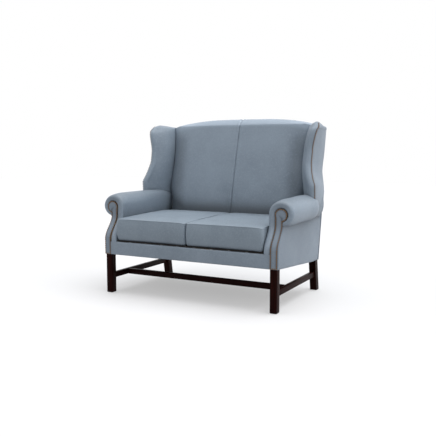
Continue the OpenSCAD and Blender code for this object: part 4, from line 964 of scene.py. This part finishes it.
def plan(hx, hy, r, na=9, nx=56, ny=60):
    """A rectangle about the origin with corners of radius r."""
    arcs = []
    for q, (sx, sy) in enumerate(((1, 1), (-1, 1), (-1, -1), (1, -1))):
        a = np.radians(90 * q + shares(na, 0, 90))
        arcs.append(cols(sx * (hx - r) + r * np.cos(a), sy * (hy - r) + r * np.sin(a)))
    pts = []
    for q, arc in enumerate(arcs):
        u = shares((ny if q % 2 else nx) + 2)[1:-1, None]
        pts += [arc, arc[-1] * (1 - u) + arcs[(q + 1) % 4][0] * u]
    return np.concatenate(pts)


def cushion_profile():
    """Rings from the underside's middle to the top's: inset, share of the height, share of the plan."""
    profile = [(16, 0, k) for k in (.02, .3, .6, .85, 1)]
    for a in shares(10, end=np.pi / 2)[1:]:
        profile.append((mix(16, .8, math.sin(a)), .15 * (1 - math.cos(a)), 1))
    for t in shares(22)[1:]:
        profile.append((mix(.8, 1.2, t) - 1.2 * math.sin(np.pi * t), mix(.15, .965, t), 1))
    seam = ((1.2, .975), (.4, .985), (.2, .994), (.9, 1.002), (2.2, 1), (3.4, .996), (5, .996), (8, .999))
    profile += [(*ring, 1) for ring in seam]
    return profile + [(12, 1, k) for k in shares(34, 1, .02)]


def cushion(name, side):
    depth = float(cushion_length(SEAT_H))
    rings = []
    for inset, h, k in cushion_profile():
        hx, hy = CUSHION_HALF - inset, depth / 2 - inset
        p = plan(hx, hy, max(CUSHION_CORNER - inset, 3))
        a, b = p[:, 0] / hx, p[:, 1] / hy
        # the sides are drawn in between the corners, and the top is drawn down at them
        x = (p[:, 0] - np.sign(a) * 4 * (1 - b * b) * np.abs(a) ** 8) * k
        y = (p[:, 1] - np.sign(b) * 4 * (1 - a * a) * np.abs(b) ** 8) * k
        u, v = x / CUSHION_HALF / 2 + .5, (y + depth / 2) / depth
        top = cushion_top(u, v) - 5 * np.abs(2 * u - 1) ** 10 * np.abs(2 * v - 1) ** 10
        z = mix(CUSHION_Z, top, h)
        # the front swells, and so does the side before the arm. The ring just over the seam has a sine
        # below nought, and the real part of its power draws it in a little
        full = complex(math.sin(np.pi * h))
        y = mix(v * depth, v * cushion_length(z), np.clip(v, 0, 1))
        y = y - 8.5 * (full ** .8).real * np.maximum(-b, 0) ** 6
        beside = ease(1 - (y + 9) / (arm_y(z) + 24))
        x = x + 9 * (full ** .7).real * beside * np.maximum(a, 0) ** 6
        rings.append(cols(x + CUSHION_MID, y, z))

    def tone(x, y, z):
        # a dark line at the top seam; painted shade toward the bottom, in the gap over the deck; painted
        # highlight along the top front edge
        u, v = (x - CUSHION_MID) / CUSHION_HALF / 2 + .5, y / depth
        top = cushion_top(u, v)
        rim = np.maximum(np.abs(2 * u - 1), np.abs(2 * v - 1)) > .985
        seam = spot(z - top + 3.5, -.45, 1.6) * rim * np.where(x < 20, .2, .7)
        return seam - .5 * np.exp(-(z - CUSHION_Z) / 9) + spot(z - top, .25, 3) * (y < 12)
    build("seat_cushion_" + name, loft(rings, cap="fan"), side, smooth=60, soft=1.1, seed=91, tint=tone,
          material=LEATHER_CUSHION, slot="cushion_leather", node="cushion_cover_" + name,
          body=name + "_seat_cushion", fill=.85)


for s, side in SIDES:
    cushion(s, side)


def dome(segs=14, rings=5):
    """A nail head: its crown, rings down to the rim, and a skirt that is closed below."""
    t = shares(segs + 1, end=2 * np.pi)[:-1]
    levels = [(DOME_R * math.sin(a), DOME_H * math.cos(a)) for a in shares(rings + 1, end=np.pi / 2)[1:]]
    levels.append((DOME_R * .92, -DOME_SKIRT))
    pts = np.concatenate([[(0, 0, DOME_H)]] + [cols(r * np.cos(t), r * np.sin(t), z) for r, z in levels])
    faces = [(0, 1 + s, 1 + (s + 1) % segs) for s in range(segs)]
    for r in range(rings):
        for s in range(segs):
            a, b = 1 + r * segs + s, 1 + r * segs + (s + 1) % segs
            faces.append((a, a + segs, b + segs, b))
    return pts, faces + [tuple(range(len(pts) - 1, len(pts) - 1 - segs, -1))]


DOME, DOME_FACES = dome()
# the tone is highest at the crown and lowest at the rim, where the bronze is darkened: painted shade where
# the head meets the leather, with the patina that gathers there
DOME_TONE = np.clip(1 - np.hypot(DOME[:, 0], DOME[:, 1]) / DOME_R, 0, 1) * 2.3 - 1.4


def nails(name, places, node, side):
    """Nail heads at places, which are points with the way they face, each set a little unevenly."""
    pts, faces = [], []
    rng = np.random.RandomState(len(places))
    for p, axis in places:
        axis = np.array(axis) / np.linalg.norm(axis) + rng.normal(0, .03, 3)
        axis /= np.linalg.norm(axis)
        t1 = np.cross(axis, [.3, .2, .93])
        t1 /= np.linalg.norm(t1)
        t2 = np.cross(axis, t1)
        at = np.array(p) + t1 * rng.normal(0, .2) + t2 * rng.normal(0, .2)
        first = len(pts)
        pts += list(at + DOME @ np.array([t1, t2, axis]))
        faces += [tuple(first + i for i in f) for f in DOME_FACES]
    tones = np.tile(DOME_TONE, len(places))
    build(name, (pts, faces), side, smooth=70, tint=lambda x, y, z: tones,
          material=BRONZE, slot="bronze", node=node)


def arm_nail_places():
    """Up the facing's inner side, round its head, down its outer side, and two across its foot."""
    foot = FRONT_CLEAR + 5.5
    z_in, z_out = (POLE_Z + POLE_R * math.sin(a) for a in (ARC_START, ARC_END))
    stem_end = z_in - foot
    head_end = stem_end + POLE_R * (ARC_START - ARC_END)
    total = head_end + z_out - foot
    count = int(total // NAIL_PITCH)
    spots = []
    for i in range(count + 1):
        d = total * i / count
        if d < stem_end:
            spots.append((STEM_IN, foot + d))
        elif d < head_end:
            a = ARC_START - (d - stem_end) / POLE_R
            spots.append((POLE_X + POLE_R * math.cos(a), POLE_Z + POLE_R * math.sin(a)))
        else:
            spots.append((BODY_HALF, z_out - (d - head_end)))
    spots += [(mix(STEM_IN, BODY_HALF, i / 3), foot) for i in (1, 2)]
    return [((x, float(arm_y(z)) + NAIL_SINK, z), (0, -1, float(arm_y(z + .5) - arm_y(z - .5))))
            for x, z in spots]


def inset_at(z):
    """How far the wing's cover has drawn in at height z, where it rounds over its top."""
    rise = min(max((z - CAP_BASE) / (WING_TOP - CAP_BASE), 0), .98) ** (1 / CAP_POWER)
    return cap_inset(math.asin(rise))


def wing_nail_places():
    c, s = math.cos(WING_NAIL_ANGLE), math.sin(WING_NAIL_ANGLE)

    def on_edge(z, inset=0.0):
        r = WING_ROUND - inset
        return np.array([float(edge_x(z)) - WING_ROUND + r * c, float(edge_y(z)) + WING_ROUND + r * s, z])
    z = float(roll_surface(edge_x(WING_BASE), edge_y(WING_BASE) + WING_ROUND / 2)) + NAIL_PITCH
    places = []
    while z < WING_TOP - NAIL_PITCH:
        places.append((on_edge(z, inset_at(z)), (c, s, inset_at(z + .5) - inset_at(z - .5))))
        z += NAIL_PITCH * .5 / np.linalg.norm(on_edge(z + .5) - on_edge(z))
    return places


for s, side in SIDES:
    nails("arm_nail_heads_" + s, arm_nail_places(), "arm_nails_" + s, side)
    nails("wing_nail_heads_" + s, wing_nail_places(), "wing_nails_" + s, side)


def straight_rays(tree):
    """One where the ray comes from the camera, a glossy surface or glass, else nought."""
    path = tree.nodes.new("ShaderNodeLightPath")
    found = path.outputs["Is Camera Ray"]
    for kind in ("Is Glossy Ray", "Is Transmission Ray"):
        most = tree.nodes.new("ShaderNodeMath")
        most.operation = "MAXIMUM"
        tree.links.new(found, most.inputs[0])
        tree.links.new(path.outputs[kind], most.inputs[1])
        found = most.outputs[0]
    return found


def floor(reach=14.0, cells=24):
    steps = shares(cells + 1, -reach, reach)
    n = len(steps)
    mesh = bpy.data.meshes.new("floor")
    corners = [j * n + i for j in range(cells) for i in range(cells)]
    mesh.from_pydata([(x, y, 0) for y in steps for x in steps], [],
                     [(a, a + 1, a + n + 1, a + n) for a in corners])
    m = Mat("floor")
    patches = m.noise(m.coords(), scale=.6, detail=2)
    grey = m.ramp(patches, [(.3, srgb(172, 173, 175)), (.7, srgb(178, 178, 180))])
    # seen by the camera, in gloss or through glass, the floor is the same white as the background
    m.set(Base_Color=grey, Roughness=.9, Specular_IOR_Level=0, Emission_Color=(1, 1, 1, 1),
          Emission_Strength=m.remap(straight_rays(m.tree), 0, FLOOR_LIFT))
    mesh.materials.append(m.made)
    ground = bpy.data.objects.new("floor", mesh)
    bpy.context.scene.collection.objects.link(ground)


floor()
scene = bpy.context.scene
world = bpy.data.worlds.new("studio")
scene.world = world
world.use_nodes = True
world_tree = world.node_tree
background = world_tree.nodes["Background"]
background.inputs["Color"].default_value = (1, 1, 1, 1)
# the light comes from above and fades toward the horizon
where = world_tree.nodes.new("ShaderNodeTexCoord")
split = world_tree.nodes.new("ShaderNodeSeparateXYZ")
sky = world_tree.nodes.new("ShaderNodeMapRange")
for key, value in (("From Min", 0), ("From Max", .8), ("To Min", .2), ("To Max", .95)):
    sky.inputs[key].default_value = value
pick = world_tree.nodes.new("ShaderNodeMix")
pick.inputs[3].default_value = 1
for start, end in ((where.outputs["Generated"], split.inputs[0]), (split.outputs["Z"], sky.inputs["Value"]),
                   (straight_rays(world_tree), pick.inputs[0]), (sky.outputs["Result"], pick.inputs[2]),
                   (pick.outputs[0], background.inputs["Strength"])):
    world_tree.links.new(start, end)


def sun(name, toward, strength, spread):
    light = bpy.data.lights.new(name, "SUN")
    light.energy = strength
    light.angle = math.radians(spread)
    lamp = bpy.data.objects.new(name, light)
    scene.collection.objects.link(lamp)
    lamp.location = toward
    lamp.rotation_euler = Vector(toward).to_track_quat("Z", "Y").to_euler()


sun("top", (.22, .16, .96), 2.15, 60)
sun("right", (.93, .12, .32), .5, 50)

cam = bpy.data.cameras.new("camera")
cam.lens, cam.sensor_width = 50, 36
camera = bpy.data.objects.new("camera", cam)
scene.collection.objects.link(camera)
camera.location = (1.846, -3.4845, .896)
camera.rotation_euler = (math.radians(90 - 6.131), 0, math.radians(27.942))
scene.camera = camera
scene.view_settings.view_transform = "Standard"
